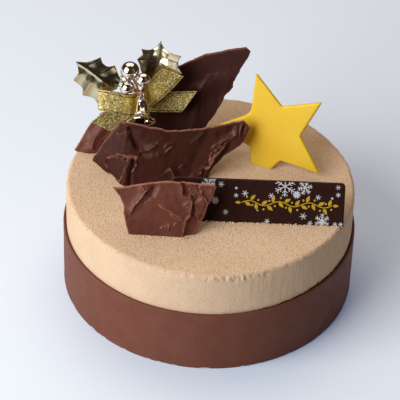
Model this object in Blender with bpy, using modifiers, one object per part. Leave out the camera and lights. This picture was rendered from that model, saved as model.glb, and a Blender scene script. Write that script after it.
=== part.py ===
"""Round mousse cake with a chocolate band, a star, a plaque, chocolate shards and a gilt pick.

Metres, +Z up. The origin is on the cake's axis, on the surface that it stands on, and
-Y is the side that faces the viewer. Each food and each piece of the pick is one closed solid.
"""
import math

import bmesh
import bpy
from mathutils import Matrix, Vector
from mathutils.geometry import delaunay_2d_cdt, intersect_point_line

MM = 0.001
CLEARANCE = 0.3 * MM         # between pieces that touch
MERGE = 0.01 * MM            # distance under which turned points merge

# The cake: a 150 mm ring cake, with a strip of chocolate round its lower part
CAKE_HEIGHT = 59.5 * MM
MOUSSE_RADIUS = 73.4 * MM
RIM_ROUND = 2.0 * MM
BAND_RADIUS = 75.0 * MM      # outside
BAND_THICK = 1.3 * MM
BAND_HEIGHT = 35.5 * MM
BAND_ROUND = 0.35 * MM
ROUND_STEPS = 80

# How far the flat pieces are pressed into the mousse
PRESS = 2.0 * MM

# The star: five points on a flat biscuit of moulded chocolate
STAR_RADIUS = 31.9 * MM
STAR_WAIST = 0.467           # inner radius over outer radius
STAR_THICK = 2.5 * MM
STAR_EDGE = 0.7 * MM         # rounding of its face edges
STAR_FOOT = (25.7 * MM, 16.0 * MM)       # where its plane meets the mousse
STAR_CENTRE = (3.0 * MM, 18.6 * MM)      # in its plane, from that foot
STAR_SPIN = 27.2             # degrees
STAR_TURN = -22.2            # degrees, turned to the left
STAR_LEAN = 20.0             # degrees, leaning back

# The plaque
PLAQUE_WIDTH = 86.0 * MM
PLAQUE_HEIGHT = 23.5 * MM    # with the strip pressed into the mousse
PLAQUE_THICK = 2.2 * MM
PLAQUE_CORNER = 2.5 * MM
PLAQUE_EDGE = 0.4 * MM
PLAQUE_RIGHT_END = 66.9 * MM
PLAQUE_FOOT_Y = -30.6 * MM
PLAQUE_LEAN = 27.0

# The chocolate shards: thickness, mesh size and lean
SHARD_THICK = 2.6 * MM
SHARD_GRID = 3.0 * MM
SHARD_BACK = 0.75            # share of the front's relief that shows at the back
SHARD_LEAN = 25.0
BACK_SHARD_LEAN = 15.0

# The gilt pick: its bow's knot is the pick's own origin, and the whole leans back
KNOT = (-36.3 * MM, 26.9 * MM, 91.5 * MM)
PICK_LEAN = 15.0
PICK_STEM = 1.1 * MM         # radius
PICK_STEM_DEPTH = 24.0 * MM  # in the mousse
LEAF_THICK = 0.7 * MM
LEAF_GRID = 3.0 * MM
LEAF_EMBOSS = 1.1 * MM
LEAF_FOLD = 0.12             # how far its halves bend back from the midrib
LEAF_SET_BACK = (0.0, 4.4 * MM, -2.0 * MM)
WIRE_RADIUS = 0.4 * MM
RIBBON_THICK = 0.45 * MM
BELL_LENGTH = 15.8 * MM
BELL_WALL = 0.6 * MM
BELL_NOD = 49.5              # degrees, its mouth swung up to the viewer
BELL_TOP = (0.0, -1.2 * MM, 3.0 * MM)

COLLECTION = "mousse_cake"
GUIDES = "cutters"


def empty_scene():
    """Remove what the scene holds."""
    for item in list(bpy.data.objects):
        bpy.data.objects.remove(item, do_unlink=True)


def collection(name):
    """A collection of that name, in the scene."""
    found = bpy.data.collections.get(name)
    if found is None:
        found = bpy.data.collections.new(name)
        bpy.context.scene.collection.children.link(found)
    return found


def material(name, colour, roughness, metallic=0.0):
    """A Principled material."""
    made = bpy.data.materials.new(name)
    made.use_nodes = True
    shader = made.node_tree.nodes["Principled BSDF"]
    shader.inputs["Base Color"].default_value = (*colour, 1.0)
    shader.inputs["Roughness"].default_value = roughness
    shader.inputs["Metallic"].default_value = metallic
    return made


def add_object(name, mesh, look=None, guide=False):
    """Put a mesh in the scene as a named piece, or as a cutter that isn't part of the cake."""
    piece = bpy.data.objects.new(name, mesh)
    collection(GUIDES if guide else COLLECTION).objects.link(piece)
    if guide:
        piece.hide_render = True
        piece.display_type = "WIRE"
    if look is not None:
        mesh.materials.append(look)
    return piece


def mesh_from(name, points, faces, edges=()):
    """A mesh whose faces all point outwards."""
    mesh = bpy.data.meshes.new(name)
    mesh.from_pydata(points, edges, faces)
    if faces:
        work = bmesh.new()
        work.from_mesh(mesh)
        bmesh.ops.recalc_face_normals(work, faces=work.faces)
        work.to_mesh(mesh)
        work.free()
    mesh.update()
    return mesh


def smooth(piece, angle=35.0):
    """Shade a piece smooth, apart from its sharp edges."""
    piece.data.shade_smooth()
    piece.data.set_sharp_from_angle(angle=math.radians(angle))


def place(piece, origin, turn=0.0, lean=0.0):
    """Stand an upright piece at a point, turned about Z and leaning back, in degrees."""
    piece.location = origin
    piece.rotation_euler = (math.radians(-lean), 0.0, math.radians(turn))


def turned(name, profile, look, closed=False, steps=ROUND_STEPS):
    """A turned piece: a profile of (radius, height) spun about Z by a Screw modifier."""
    points = [(radius, 0.0, height) for radius, height in profile]
    edges = [(i, i + 1) for i in range(len(points) - 1)]
    if closed:
        edges.append((len(points) - 1, 0))
    piece = add_object(name, mesh_from(name, points, [], edges), look)
    spin = piece.modifiers.new("spin", "SCREW")
    spin.steps = steps
    spin.render_steps = steps
    spin.use_merge_vertices = True
    spin.merge_threshold = MERGE
    return piece


def rounded_corner(corner, before, after, radius, steps=3):
    """Points of an arc-like round between two sides that meet at a corner."""
    corner = Vector(corner)
    start = corner + (Vector(before) - corner).normalized() * radius
    end = corner + (Vector(after) - corner).normalized() * radius
    points = []
    for i in range(steps + 1):
        t = i / steps
        points.append(tuple((1 - t) ** 2 * start + 2 * t * (1 - t) * corner + t * t * end))
    return points


def rounded_outline(corners, radii, steps=3):
    """An outline whose corners are rounded, each by its own radius."""
    points = []
    count = len(corners)
    for i, corner in enumerate(corners):
        points += rounded_corner(corner, corners[i - 1], corners[(i + 1) % count], radii[i], steps)
    return points


def grown_outline(points, distance):
    """An outline moved outwards by a distance, for one that runs anticlockwise."""
    grown = []
    count = len(points)
    for i, point in enumerate(points):
        here = Vector(point)
        into = (here - Vector(points[i - 1])).normalized()
        out = (Vector(points[(i + 1) % count]) - here).normalized()
        side = Vector((into.y, -into.x)) + Vector((out.y, -out.x))
        side.normalize()
        stretch = max(0.35, side.dot(Vector((into.y, -into.x))))
        grown.append(tuple(here + side * distance / stretch))
    return grown


def anticlockwise(points):
    """The same outline, run anticlockwise."""
    area = sum(points[i - 1][0] * points[i][1] - points[i][0] * points[i - 1][1]
               for i in range(len(points)))
    return list(points) if area > 0 else list(reversed(points))


def refined_outline(points, longest):
    """The outline with its long sides divided."""
    refined = []
    for i, point in enumerate(points):
        start, end = Vector(points[i - 1]), Vector(point)
        parts = max(1, math.ceil((end - start).length / longest))
        refined += [tuple(start.lerp(end, k / parts)) for k in range(1, parts + 1)]
    return refined


def inside(point, outline):
    """Whether a point is inside an outline."""
    x, y = point
    odd = False
    for i in range(len(outline)):
        (x0, y0), (x1, y1) = outline[i - 1], outline[i]
        if (y0 > y) != (y1 > y) and x < (x1 - x0) * (y - y0) / (y1 - y0) + x0:
            odd = not odd
    return odd


def distance_to_path(point, path):
    """Distance from a point to an open path, positive on the path's left."""
    here = Vector(point)
    best, signed = None, 0.0
    for start, end in zip(path[:-1], path[1:]):
        a, b = Vector(start), Vector(end)
        nearest, share = intersect_point_line(here, a, b)
        nearest = a if share < 0 else b if share > 1 else nearest.to_2d()
        gap = (here - nearest).length
        if best is None or gap < best:
            along, off = b - a, here - a
            best = gap
            signed = gap if along.x * off.y - along.y * off.x > 0 else -gap
    return signed


def ease(value):
    """0 to 1, with soft ends."""
    value = min(1.0, max(0.0, value))
    return value * value * (3 - 2 * value)


def relief_of(features):
    """A height over (u, v), from ridges along a path and from plates on a path's left side."""
    def height(u, v):
        total = 0.0
        for kind, size, width, path in features:
            gap = distance_to_path((u, v), path)
            if kind == "ridge":
                total += size * math.exp(-(gap / width) ** 2)
            else:
                total += size * ease(0.5 + gap / width)
        return total
    return height


def interior_points(outline, grid):
    """A staggered grid of points well inside an outline."""
    loop = outline + [outline[0]]
    low_u, high_u = min(p[0] for p in outline), max(p[0] for p in outline)
    low_v, high_v = min(p[1] for p in outline), max(p[1] for p in outline)
    points = []
    row, v = 0, low_v + 0.5 * grid
    while v < high_v:
        u = low_u + (0.5 + 0.5 * (row % 2)) * grid
        while u < high_u:
            if inside((u, v), outline) and abs(distance_to_path((u, v), loop)) > 0.5 * grid:
                points.append((u, v))
            u += grid
        row, v = row + 1, v + 0.87 * grid
    return points


def sheet(name, outline, surface, relief, thickness, grid, back_share=1.0, grow=0.0):
    """A closed sheet: surface(u, v, depth) puts a point in space, and relief lifts it.

    Depth counts toward the viewer: the front is at 0 and the back at minus the thickness.
    A sheet that is grown all round has the same triangles, so it makes an even slot.
    """
    border = refined_outline(anticlockwise(outline), grid)
    points = border + interior_points(border, grid)
    edges = [(i, (i + 1) % len(border)) for i in range(len(border))]
    found = delaunay_2d_cdt([Vector(p) for p in points], edges, [], 1, 1e-7)
    flat, triangles, sources = found[0], found[2], found[3]
    wider = grown_outline(border, grow)
    count = len(flat)
    front, back = [], []
    for point, source in zip(flat, sources):
        rise = relief(point.x, point.y)
        u, v = wider[source[0]] if source[0] < len(border) else tuple(point)
        front.append(surface(u, v, rise + grow))
        back.append(surface(u, v, back_share * rise - thickness - grow))
    faces = [tuple(t) for t in triangles]
    faces += [tuple(i + count for i in reversed(t)) for t in triangles]
    border_sides = {}
    for t in triangles:
        for i in range(3):
            side = (t[i], t[(i + 1) % 3])
            border_sides[frozenset(side)] = None if frozenset(side) in border_sides else side
    for side in border_sides.values():
        if side is not None:
            a, b = side
            faces += [(b, a, a + count), (b, a + count, b + count)]
    return mesh_from(name, front + back, faces)


def cut(piece, cutter):
    """Subtract a cutter from a piece."""
    tool = piece.modifiers.new("cut_" + cutter.name, "BOOLEAN")
    tool.operation = "DIFFERENCE"
    tool.object = cutter


def fused(name, pieces, look):
    """Join closed pieces into one solid by a Boolean union, and remove the pieces."""
    bpy.context.view_layer.update()
    first = pieces[0]
    for other in pieces[1:]:
        join = first.modifiers.new("join", "BOOLEAN")
        join.operation = "UNION"
        join.object = other
    bpy.context.view_layer.update()
    solid = bpy.data.meshes.new_from_object(first.evaluated_get(bpy.context.evaluated_depsgraph_get()))
    solid.transform(first.matrix_world)
    solid.materials.clear()
    for item in pieces:
        bpy.data.objects.remove(item, do_unlink=True)
    solid.name = name
    return add_object(name, solid, look)


def ball(name, centre, radius, look, segments=16, rings=10):
    """A sphere."""
    work = bmesh.new()
    bmesh.ops.create_uvsphere(work, u_segments=segments, v_segments=rings, radius=radius)
    bmesh.ops.translate(work, verts=work.verts, vec=centre)
    mesh = bpy.data.meshes.new(name)
    work.to_mesh(mesh)
    work.free()
    piece = add_object(name, mesh, look)
    smooth(piece)
    return piece


def rod(name, start, end, radius, look, sides=8, guide=False):
    """A round rod between two points."""
    start, end = Vector(start), Vector(end)
    along = end - start
    place_it = Matrix.Translation((start + end) / 2) @ along.to_track_quat("Z", "Y").to_matrix().to_4x4()
    work = bmesh.new()
    bmesh.ops.create_cone(work, cap_ends=True, segments=sides, radius1=radius, radius2=radius,
                          depth=along.length, matrix=place_it)
    mesh = bpy.data.meshes.new(name)
    work.to_mesh(mesh)
    work.free()
    return add_object(name, mesh, look, guide)


def make_mousse():
    """The mousse: a disc with a softly rounded rim."""
    look = material("coffee_mousse_velvet", (0.56, 0.36, 0.20), 0.95)
    rim = rounded_corner((MOUSSE_RADIUS, CAKE_HEIGHT), (0.0, CAKE_HEIGHT), (MOUSSE_RADIUS, 0.0),
                         RIM_ROUND, 4)
    profile = [(0.0, CAKE_HEIGHT)] + rim + [(MOUSSE_RADIUS, 0.0), (0.0, 0.0)]
    piece = turned("mousse_body", profile, look)
    smooth(piece)
    return piece


def make_band():
    """The strip of dark chocolate round the mousse."""
    look = material("dark_chocolate_band", (0.10, 0.035, 0.022), 0.42)
    inner = BAND_RADIUS - BAND_THICK
    outer_edge = rounded_corner((BAND_RADIUS, BAND_HEIGHT), (inner, BAND_HEIGHT),
                                (BAND_RADIUS, 0.0), BAND_ROUND, 2)
    inner_edge = rounded_corner((inner, BAND_HEIGHT), (inner, 0.0),
                                (BAND_RADIUS, BAND_HEIGHT), BAND_ROUND, 2)
    profile = outer_edge + [(BAND_RADIUS, 0.0), (inner, 0.0)] + inner_edge
    piece = turned("chocolate_band", profile, look, closed=True)
    smooth(piece)
    return piece


def star_outline():
    """The star's outline, about its centre: the corner at the upper left is the softest."""
    corners, radii = [], []
    for i in range(5):
        tip = math.radians(90 + STAR_SPIN + 72 * i)
        notch = math.radians(90 + STAR_SPIN + 72 * i + 36)
        corners.append((STAR_RADIUS * math.cos(tip), STAR_RADIUS * math.sin(tip)))
        corners.append((STAR_WAIST * STAR_RADIUS * math.cos(notch),
                        STAR_WAIST * STAR_RADIUS * math.sin(notch)))
        radii += [1.6 * MM, 4.0 * MM if i == 0 else 1.2 * MM]
    points = rounded_outline(corners, radii)
    return [(x + STAR_CENTRE[0], y + STAR_CENTRE[1]) for x, y in points]


def flat_plate(name, outline, thickness, look, edge=0.0, guide=False):
    """An upright flat plate: an outline in X and Z, centred on Y = 0, with rounded edges."""
    count = len(outline)
    half = thickness / 2
    points = [(x, -half, z) for x, z in outline] + [(x, half, z) for x, z in outline]
    faces = [tuple(range(count)), tuple(reversed(range(count, 2 * count)))]
    faces += [(i, (i + 1) % count, (i + 1) % count + count, i + count) for i in range(count)]
    piece = add_object(name, mesh_from(name, points, faces), look, guide)
    if edge:
        round_it = piece.modifiers.new("edges", "BEVEL")
        round_it.width = edge
        round_it.segments = 1
        round_it.limit_method = "ANGLE"
        round_it.angle_limit = math.radians(60)
    return piece


def make_star(mousse):
    """The yellow star, one leg in the mousse."""
    look = material("yellow_chocolate", (0.80, 0.48, 0.02), 0.5)
    origin = (*STAR_FOOT, CAKE_HEIGHT)
    star = flat_plate("star", star_outline(), STAR_THICK, look, STAR_EDGE)
    place(star, origin, STAR_TURN, STAR_LEAN)
    smooth(star)
    slot_outline = grown_outline(anticlockwise(star_outline()), CLEARANCE)
    slot = flat_plate("star_slot", slot_outline, STAR_THICK + 2 * CLEARANCE, None, guide=True)
    place(slot, origin, STAR_TURN, STAR_LEAN)
    cut(mousse, slot)


def rectangle(left, right, low, high, corner):
    """A rectangle with rounded corners."""
    return rounded_outline([(left, low), (right, low), (right, high), (left, high)], [corner] * 4, 4)


def make_plaque(mousse):
    """The dark plaque, its lower edge in the mousse."""
    look = material("dark_plaque_chocolate", (0.035, 0.016, 0.014), 0.35)
    origin = (PLAQUE_RIGHT_END - PLAQUE_WIDTH / 2, PLAQUE_FOOT_Y, CAKE_HEIGHT)
    half = PLAQUE_WIDTH / 2
    top = PLAQUE_HEIGHT - PRESS
    plaque = flat_plate("plaque", rectangle(-half, half, -PRESS, top, PLAQUE_CORNER),
                        PLAQUE_THICK, look, PLAQUE_EDGE)
    place(plaque, origin, 0.0, PLAQUE_LEAN)
    smooth(plaque)
    slot = flat_plate("plaque_slot", rectangle(-half - CLEARANCE, half + CLEARANCE,
                                               -PRESS - CLEARANCE, PRESS, PLAQUE_CORNER / 2),
                      PLAQUE_THICK + 2 * CLEARANCE, None, guide=True)
    place(slot, origin, 0.0, PLAQUE_LEAN)
    cut(mousse, slot)


def scaled(points):
    """Points given in millimetres, in metres."""
    return [(u * MM, v * MM) for u, v in points]


def upright(u, v, depth):
    """The surface of a flat upright piece: u along X and v up Z."""
    return (u, -depth, v)


def shard(name, outline, relief, origin, turn, lean, look, mousse, surface=upright):
    """A chocolate shard, and the slot in the mousse that its foot stands in."""
    mesh = sheet(name, outline, surface, relief, SHARD_THICK, SHARD_GRID, SHARD_BACK)
    piece = add_object(name, mesh, look)
    slot_mesh = sheet(name + "_slot", outline, surface, relief, SHARD_THICK, SHARD_GRID,
                      SHARD_BACK, CLEARANCE)
    slot = add_object(name + "_slot", slot_mesh, None, guide=True)
    smooth(piece)
    for item in (piece, slot):
        place(item, origin, turn, lean)
    cut(mousse, slot)


def make_front_shard(look, mousse):
    """The shard at the front: a raised plate, a flap at its left and a broken right side."""
    outline = scaled([(-14, -2), (12.5, -2), (15.8, 0.6), (19.1, 2.3), (20, 7.1), (22.3, 11.1),
                      (24, 16.4), (25.9, 21.1), (27.4, 25.7), (26.6, 26.3), (19.7, 26.8),
                      (11.1, 27.6), (2.4, 27.4), (-4.5, 26.6), (-10.1, 25.3), (-15.9, 23.9),
                      (-20.6, 23), (-23, 23.1), (-20.5, 20.1), (-17.4, 14.9), (-17.7, 10.8),
                      (-15.7, 3.7)])
    broken_side = scaled([(11.8, -4), (13, 4), (12.8, 7.4), (16.2, 11.3), (17, 15.8),
                          (16.5, 18.5), (12.9, 21.1), (11.3, 30)])
    flap = scaled([(-16, 8), (-14.4, 10.8), (-10.2, 17), (-7.2, 20.4), (-3, 25.7), (0, 30)])
    relief = relief_of([
        ("plate", 1.7 * MM, 2.2 * MM, broken_side),
        ("plate", 1.4 * MM, 2.4 * MM, flap),
        ("ridge", 1.2 * MM, 2.0 * MM, scaled([(21, 22), (22.6, 19), (22, 14)])),
        ("ridge", -1.6 * MM, 3.4 * MM, scaled([(18, -2), (18.5, 8)])),
    ])
    origin = (-25.0 * MM, -44.4 * MM, CAKE_HEIGHT)
    shard("shard_front", outline, relief, origin, -1.7, SHARD_LEAN, look, mousse)


def bent(course, lean):
    """The surface of a folded sheet: its foot follows a course, and it leans back all along."""
    slope = math.tan(math.radians(lean))
    soften = [step * MM for step in (-3.0, -1.5, 0.0, 1.5, 3.0)]

    def leg(u):
        for (u0, y0), (u1, y1) in zip(course[:-1], course[1:]):
            if u <= u1 or (u1, y1) == course[-1]:
                rate = (y1 - y0) / (u1 - u0)
                return y0 + rate * (u - u0), rate

    def surface(u, v, depth):
        legs = [leg(u + step) for step in soften]
        foot = sum(y for y, rate in legs) / len(legs)
        rate = sum(rate for y, rate in legs) / len(legs)
        out = Vector((rate, -1.0, slope)).normalized()
        return tuple(Vector((u, foot + slope * v, v)) + out * depth)
    return surface


def make_middle_shard(look, mousse):
    """The widest shard: folded at its left, and drawn out to a point at its right."""
    outline = scaled([(-60.5, -2), (-2.6, -2), (-0.2, 3.7), (2.3, 5.7), (6.7, 9.7), (14.3, 13.5),
                      (17.3, 18.2), (19, 21.8), (15.4, 25.4), (6.1, 24.2), (-4.8, 24),
                      (-17.7, 26.8), (-25.4, 28.8), (-40.8, 30.2), (-46.4, 28.8),
                      (-51.4, 20.7), (-55.5, 13), (-61.6, 0)])
    course = scaled([(-80, 37), (-61.5, 14.6), (-44, -7), (-22, -8), (-2, 3), (12, 7), (35, 9)])
    relief = relief_of([
        ("plate", 1.4 * MM, 2.6 * MM, scaled([(-40, 10), (-38.5, 18), (-42, 25), (-45, 31)])),
        ("ridge", 1.6 * MM, 2.6 * MM, scaled([(-37, -2), (-39, 6), (-44, 11), (-52, 12)])),
        ("ridge", 2.0 * MM, 2.8 * MM, scaled([(-9, 1), (-3, 9), (4, 16), (11, 21)])),
        ("ridge", 0.9 * MM, 2.0 * MM, scaled([(-36, 18), (-30, 20), (-26, 22)])),
        ("ridge", 1.0 * MM, 1.8 * MM, scaled([(-22, 2), (-21, 7)])),
        ("ridge", -0.9 * MM, 2.2 * MM, scaled([(-36, 13), (-34, 20), (-37, 27)])),
    ])
    shard("shard_middle", outline, relief, (0.0, 0.0, CAKE_HEIGHT), 0.0, 0.0, look, mousse,
          bent(course, SHARD_LEAN))


def make_back_shard(look, mousse):
    """The tall dark shard behind: a curved top edge and a long broken right side."""
    outline = scaled([(-33, -2), (-5, -2), (0.7, 9.7), (6.4, 18.8), (10.7, 27.4), (14.4, 33.1),
                      (14.6, 35.9), (18, 43.1), (21.6, 49.4), (22.5, 52.6), (20.7, 54.7),
                      (11.7, 53.2), (0.1, 50), (-3.8, 48.1), (-13, 43.3), (-20, 36), (-27.4, 20),
                      (-31, 9)])
    relief = relief_of([
        ("ridge", 0.9 * MM, 4.0 * MM, scaled([(-10, 26), (0, 33), (8, 37), (16, 39)])),
        ("ridge", -0.8 * MM, 5.0 * MM, scaled([(-16, 14), (-6, 24), (6, 28)])),
        ("ridge", 0.7 * MM, 2.0 * MM, scaled([(-6, 4), (-4, 20), (-1, 32)])),
    ])
    origin = (-5.0 * MM, 30.0 * MM, CAKE_HEIGHT)
    shard("shard_back", outline, relief, origin, 0.0, BACK_SHARD_LEAN, look, mousse)


def make_left_shard(look, mousse):
    """The small shard at the left rim."""
    outline = scaled([(-5.2, 0.5), (-1, -2), (22, -2), (23, 5), (19, 12), (13, 16.5), (8.9, 21.8),
                      (7.1, 21.5), (2.1, 14.8), (-0.2, 11.3)])
    relief = relief_of([
        ("ridge", 1.2 * MM, 2.4 * MM, scaled([(3, 2), (6, 9), (10, 17)])),
        ("ridge", -0.8 * MM, 2.6 * MM, scaled([(8, 2), (11, 10)])),
    ])
    origin = (-66.0 * MM, 20.6 * MM, CAKE_HEIGHT)
    shard("shard_left", outline, relief, origin, -8.0, SHARD_LEAN, look, mousse)


def leaf(name, outline, midrib, veins, look, pick):
    """A moulded holly leaf: a sunk midrib and veins, with raised panels between them."""
    ribs = [midrib] + [[midrib_point, tip] for midrib_point, tip in veins]

    def emboss(u, v):
        gap = min(abs(distance_to_path((u, v), rib)) for rib in ribs)
        return LEAF_EMBOSS * min(1.0, gap / (3.0 * MM))

    def folded(u, v, depth):
        return (u, LEAF_FOLD * abs(distance_to_path((u, v), midrib)) - depth, v)

    piece = add_object(name, sheet(name, outline, folded, emboss, LEAF_THICK, LEAF_GRID), look)
    piece.parent = pick
    piece.location = LEAF_SET_BACK
    smooth(piece, 20.0)


def make_leaves(look, pick):
    """Two holly leaves, fanned out to the left and up to the right."""
    left = scaled([(-34.6, 18.3), (-30, 18.1), (-25.9, 19.5), (-22, 21.5), (-20.9, 18),
                   (-18.1, 16.5), (-14.8, 17.4), (-13.9, 14.9), (-12.8, 12.1), (-11.4, 10.2),
                   (-12.6, 6.6), (-13.4, 4.2), (-18, 1.5), (-23.2, -3.7), (-25.6, -1),
                   (-31, 0.5), (-31.3, 4.4), (-35.7, 8.4), (-33.6, 12), (-33.6, 15.4)])
    left_midrib = scaled([(-34.6, 18.3), (-28.4, 14.4), (-17.9, 6.3), (-13.4, 4.2)])
    left_veins = [scaled(v) for v in ([(-29.5, 15.1), (-22, 21.5)], [(-23.4, 10.6), (-14.8, 17.4)],
                                      [(-18.6, 6.8), (-11.4, 10.2)], [(-29.5, 15.1), (-35.7, 8.4)],
                                      [(-24.6, 11.5), (-31, 0.5)], [(-19.6, 7.6), (-23.2, -3.7)])]
    right = scaled([(8.5, 31.3), (6.3, 28.2), (2.3, 26.4), (-1.4, 26.9), (-1, 23.6), (-3.5, 21.1),
                    (-2.2, 18.2), (-1.4, 14.6), (1.5, 13.8), (5, 13.4), (13, 14.5), (20.1, 13.6),
                    (17.9, 17.5), (17.6, 20.4), (19, 23.3), (12.3, 25.5), (9.2, 28.6)])
    right_midrib = scaled([(8.5, 31.3), (7.6, 21.5), (6.3, 16.6), (5, 13.4)])
    right_veins = [scaled(v) for v in ([(8.2, 27), (-1.4, 26.9)], [(7.6, 21.5), (-3.5, 21.1)],
                                       [(8.1, 26), (19, 23.3)], [(7.4, 20.6), (20.1, 13.6)])]
    leaf("leaf_left", left, left_midrib, left_veins, look, pick)
    leaf("leaf_right", right, right_midrib, right_veins, look, pick)


def make_berries(look, pick):
    """Four gilt balls, each on its wire to the knot."""
    berries = (("berry_top", (-6.7, -2.5, 15.1), 4.8, (-1.2, 2.6, 2.2)),
               ("berry_right", (0.3, -6.3, 11.8), 3.7, (1.0, 2.0, 1.6)),
               ("berry_low", (-7.6, -5.2, 6.6), 3.9, (-2.0, 2.0, 1.2)),
               ("berry_left", (-8.8, 3.4, 8.5), 2.8, (-2.7, 3.1, 1.8)))
    for name, centre, radius, root in berries:
        centre = Vector(centre) * MM
        sphere = ball(name + "_ball", centre, radius * MM, look)
        wire = rod(name + "_wire", centre, Vector(root) * MM, WIRE_RADIUS, look, 6)
        piece = fused(name, [sphere, wire], look)
        piece.parent = pick
        smooth(piece)


def strip_path(points, steps):
    """Points along a smooth curve through the given ones."""
    path = []
    last = len(points) - 1
    for i in range(last):
        p0, p1 = points[max(0, i - 1)], points[i]
        p2, p3 = points[i + 1], points[min(last, i + 2)]
        for k in range(steps if i < last - 1 else steps + 1):
            t = k / steps
            path.append(0.5 * ((2 * p1) + (p2 - p0) * t + (2 * p0 - 5 * p1 + 4 * p2 - p3) * t * t
                               + (3 * p1 - p0 - 3 * p2 + p3) * t ** 3))
    return path


def ribbon(name, stations, look, pick, steps=3):
    """A flat strip of ribbon through stations of (middle, edge to edge), in millimetres."""
    middles = strip_path([Vector(middle) * MM for middle, across in stations], steps)
    acrosses = strip_path([Vector(across) * MM for middle, across in stations], steps)
    points, faces = [], []
    for middle, across in zip(middles, acrosses):
        points += [tuple(middle - across / 2), tuple(middle), tuple(middle + across / 2)]
    for i in range(len(middles) - 1):
        for j in (0, 1):
            a = 3 * i + j
            faces.append((a, a + 1, a + 4, a + 3))
    piece = add_object(name, mesh_from(name, points, faces), look)
    shell = piece.modifiers.new("thickness", "SOLIDIFY")
    shell.thickness = RIBBON_THICK
    shell.offset = 0.0
    piece.parent = pick
    smooth(piece)


def make_ribbon(look, pick):
    """The bow: two flattened loops, two tails with slanting ends, and the knot."""
    straight, tilted = (0.0, 0.0, 11.2), (1.1, 0.0, 11.1)
    ribbon("ribbon_loop_left", [((-3.6, 1.4, -5.0), straight), ((-6.0, -0.8, -4.6), tilted),
                                ((-10.0, -1.8, -4.0), tilted), ((-16.5, -2.0, -2.4), tilted),
                                ((-21.6, -0.9, -2.2), straight), ((-22.0, 1.2, -2.8), straight),
                                ((-16.5, 2.4, -3.8), straight), ((-9.0, 2.4, -4.8), straight),
                                ((-3.6, 2.4, -5.2), straight)], look, pick)
    near, middle, far = (-5.9, 0.0, 9.5), (-8.1, 0.0, 7.7), (-9.6, 0.0, 5.8)
    ribbon("ribbon_loop_right", [((3.9, 1.3, 1.0), (-3.4, 0.0, 10.6)), ((6.6, -1.5, 5.4), near),
                                 ((11.6, -2.3, 11.2), middle), ((15.7, -0.9, 15.7), far),
                                 ((15.9, 1.2, 15.0), far), ((11.6, 2.0, 10.0), middle),
                                 ((7.0, 2.2, 4.8), near), ((3.9, 2.3, 0.8), (-3.4, 0.0, 10.6))],
           look, pick)
    ribbon("ribbon_tail_left", [((-4.6, 3.6, -6.4), (-1.0, 0.0, 11.2)), ((-10, 4.2, -9.8), (-6.0, 0.0, 9.5)),
                                ((-15, 3.3, -13.6), (-8.4, 0.0, 7.6)),
                                ((-20.6, 0.6, -17.6), (-10.9, 0.0, 5.3))], look, pick)
    ribbon("ribbon_tail_right", [((4.4, 3.4, -3.6), (1.1, 0.0, 11.1)), ((9, 4.0, -3.8), (1.3, 0.0, 11.1)),
                                 ((16, 4.0, -3.4), (3.4, 0.0, 11.4)), ((24.0, 3.2, -2.6), (7.3, 0.0, 11.9))],
           look, pick)
    knot = add_object("ribbon_knot", knot_mesh(), look)
    knot.parent = pick
    smooth(knot)


def knot_mesh():
    """The wrap at the middle of the bow: a soft rounded block."""
    work = bmesh.new()
    bmesh.ops.create_cube(work, size=1.0)
    bmesh.ops.scale(work, vec=(5.6 * MM, 3.4 * MM, 6.4 * MM), verts=work.verts)
    bmesh.ops.translate(work, vec=(0.0, 2.5 * MM, -2.8 * MM), verts=work.verts)
    bmesh.ops.bevel(work, geom=list(work.edges), offset=1.1 * MM, segments=1, affect="EDGES",
                    profile=0.5)
    mesh = bpy.data.meshes.new("ribbon_knot")
    work.to_mesh(mesh)
    work.free()
    return mesh


def bell_profile():
    """Outer radius of the bell at each length down from its cap, in millimetres."""
    return [(0.0, 1.6), (0.4, 2.2), (3.9, 2.2), (4.2, 2.6), (7.0, 2.9), (10.6, 3.5), (12.6, 4.4),
            (13.9, 5.6), (14.7, 6.8), (15.2, 7.3), (15.8, 7.3)]


def make_bell(look, pick):
    """The bell: a cap, a waist and a flared mouth, with a clapper inside."""
    outer = [(0.0, 0.0)] + [(radius * MM, -down * MM) for down, radius in bell_profile()]
    wall = BELL_WALL
    inner = [(radius * MM - wall, -down * MM) for down, radius in reversed(bell_profile())
             if down > 5.0 and radius * MM - wall < 6.9 * MM]
    inner[0] = (6.6 * MM, -BELL_LENGTH)
    inner += [(2.0 * MM, -4.9 * MM), (0.0, -4.6 * MM)]
    nod = Matrix.Rotation(math.radians(-BELL_NOD), 4, "X")
    bell = turned("bell", outer + inner, look, steps=20)
    clapper_ball = ball("clapper_ball", (0.0, 0.0, -14.2 * MM), 2.2 * MM, look, 14, 8)
    clapper_stem = rod("clapper_stem", (0.0, 0.0, -14.0 * MM), (0.0, 0.0, -5.2 * MM), 0.45 * MM, look, 6)
    clapper = fused("bell_clapper", [clapper_ball, clapper_stem], look)
    for piece in (bell, clapper):
        piece.parent = pick
        piece.matrix_local = Matrix.Translation(BELL_TOP) @ nod
        smooth(piece)


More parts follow.
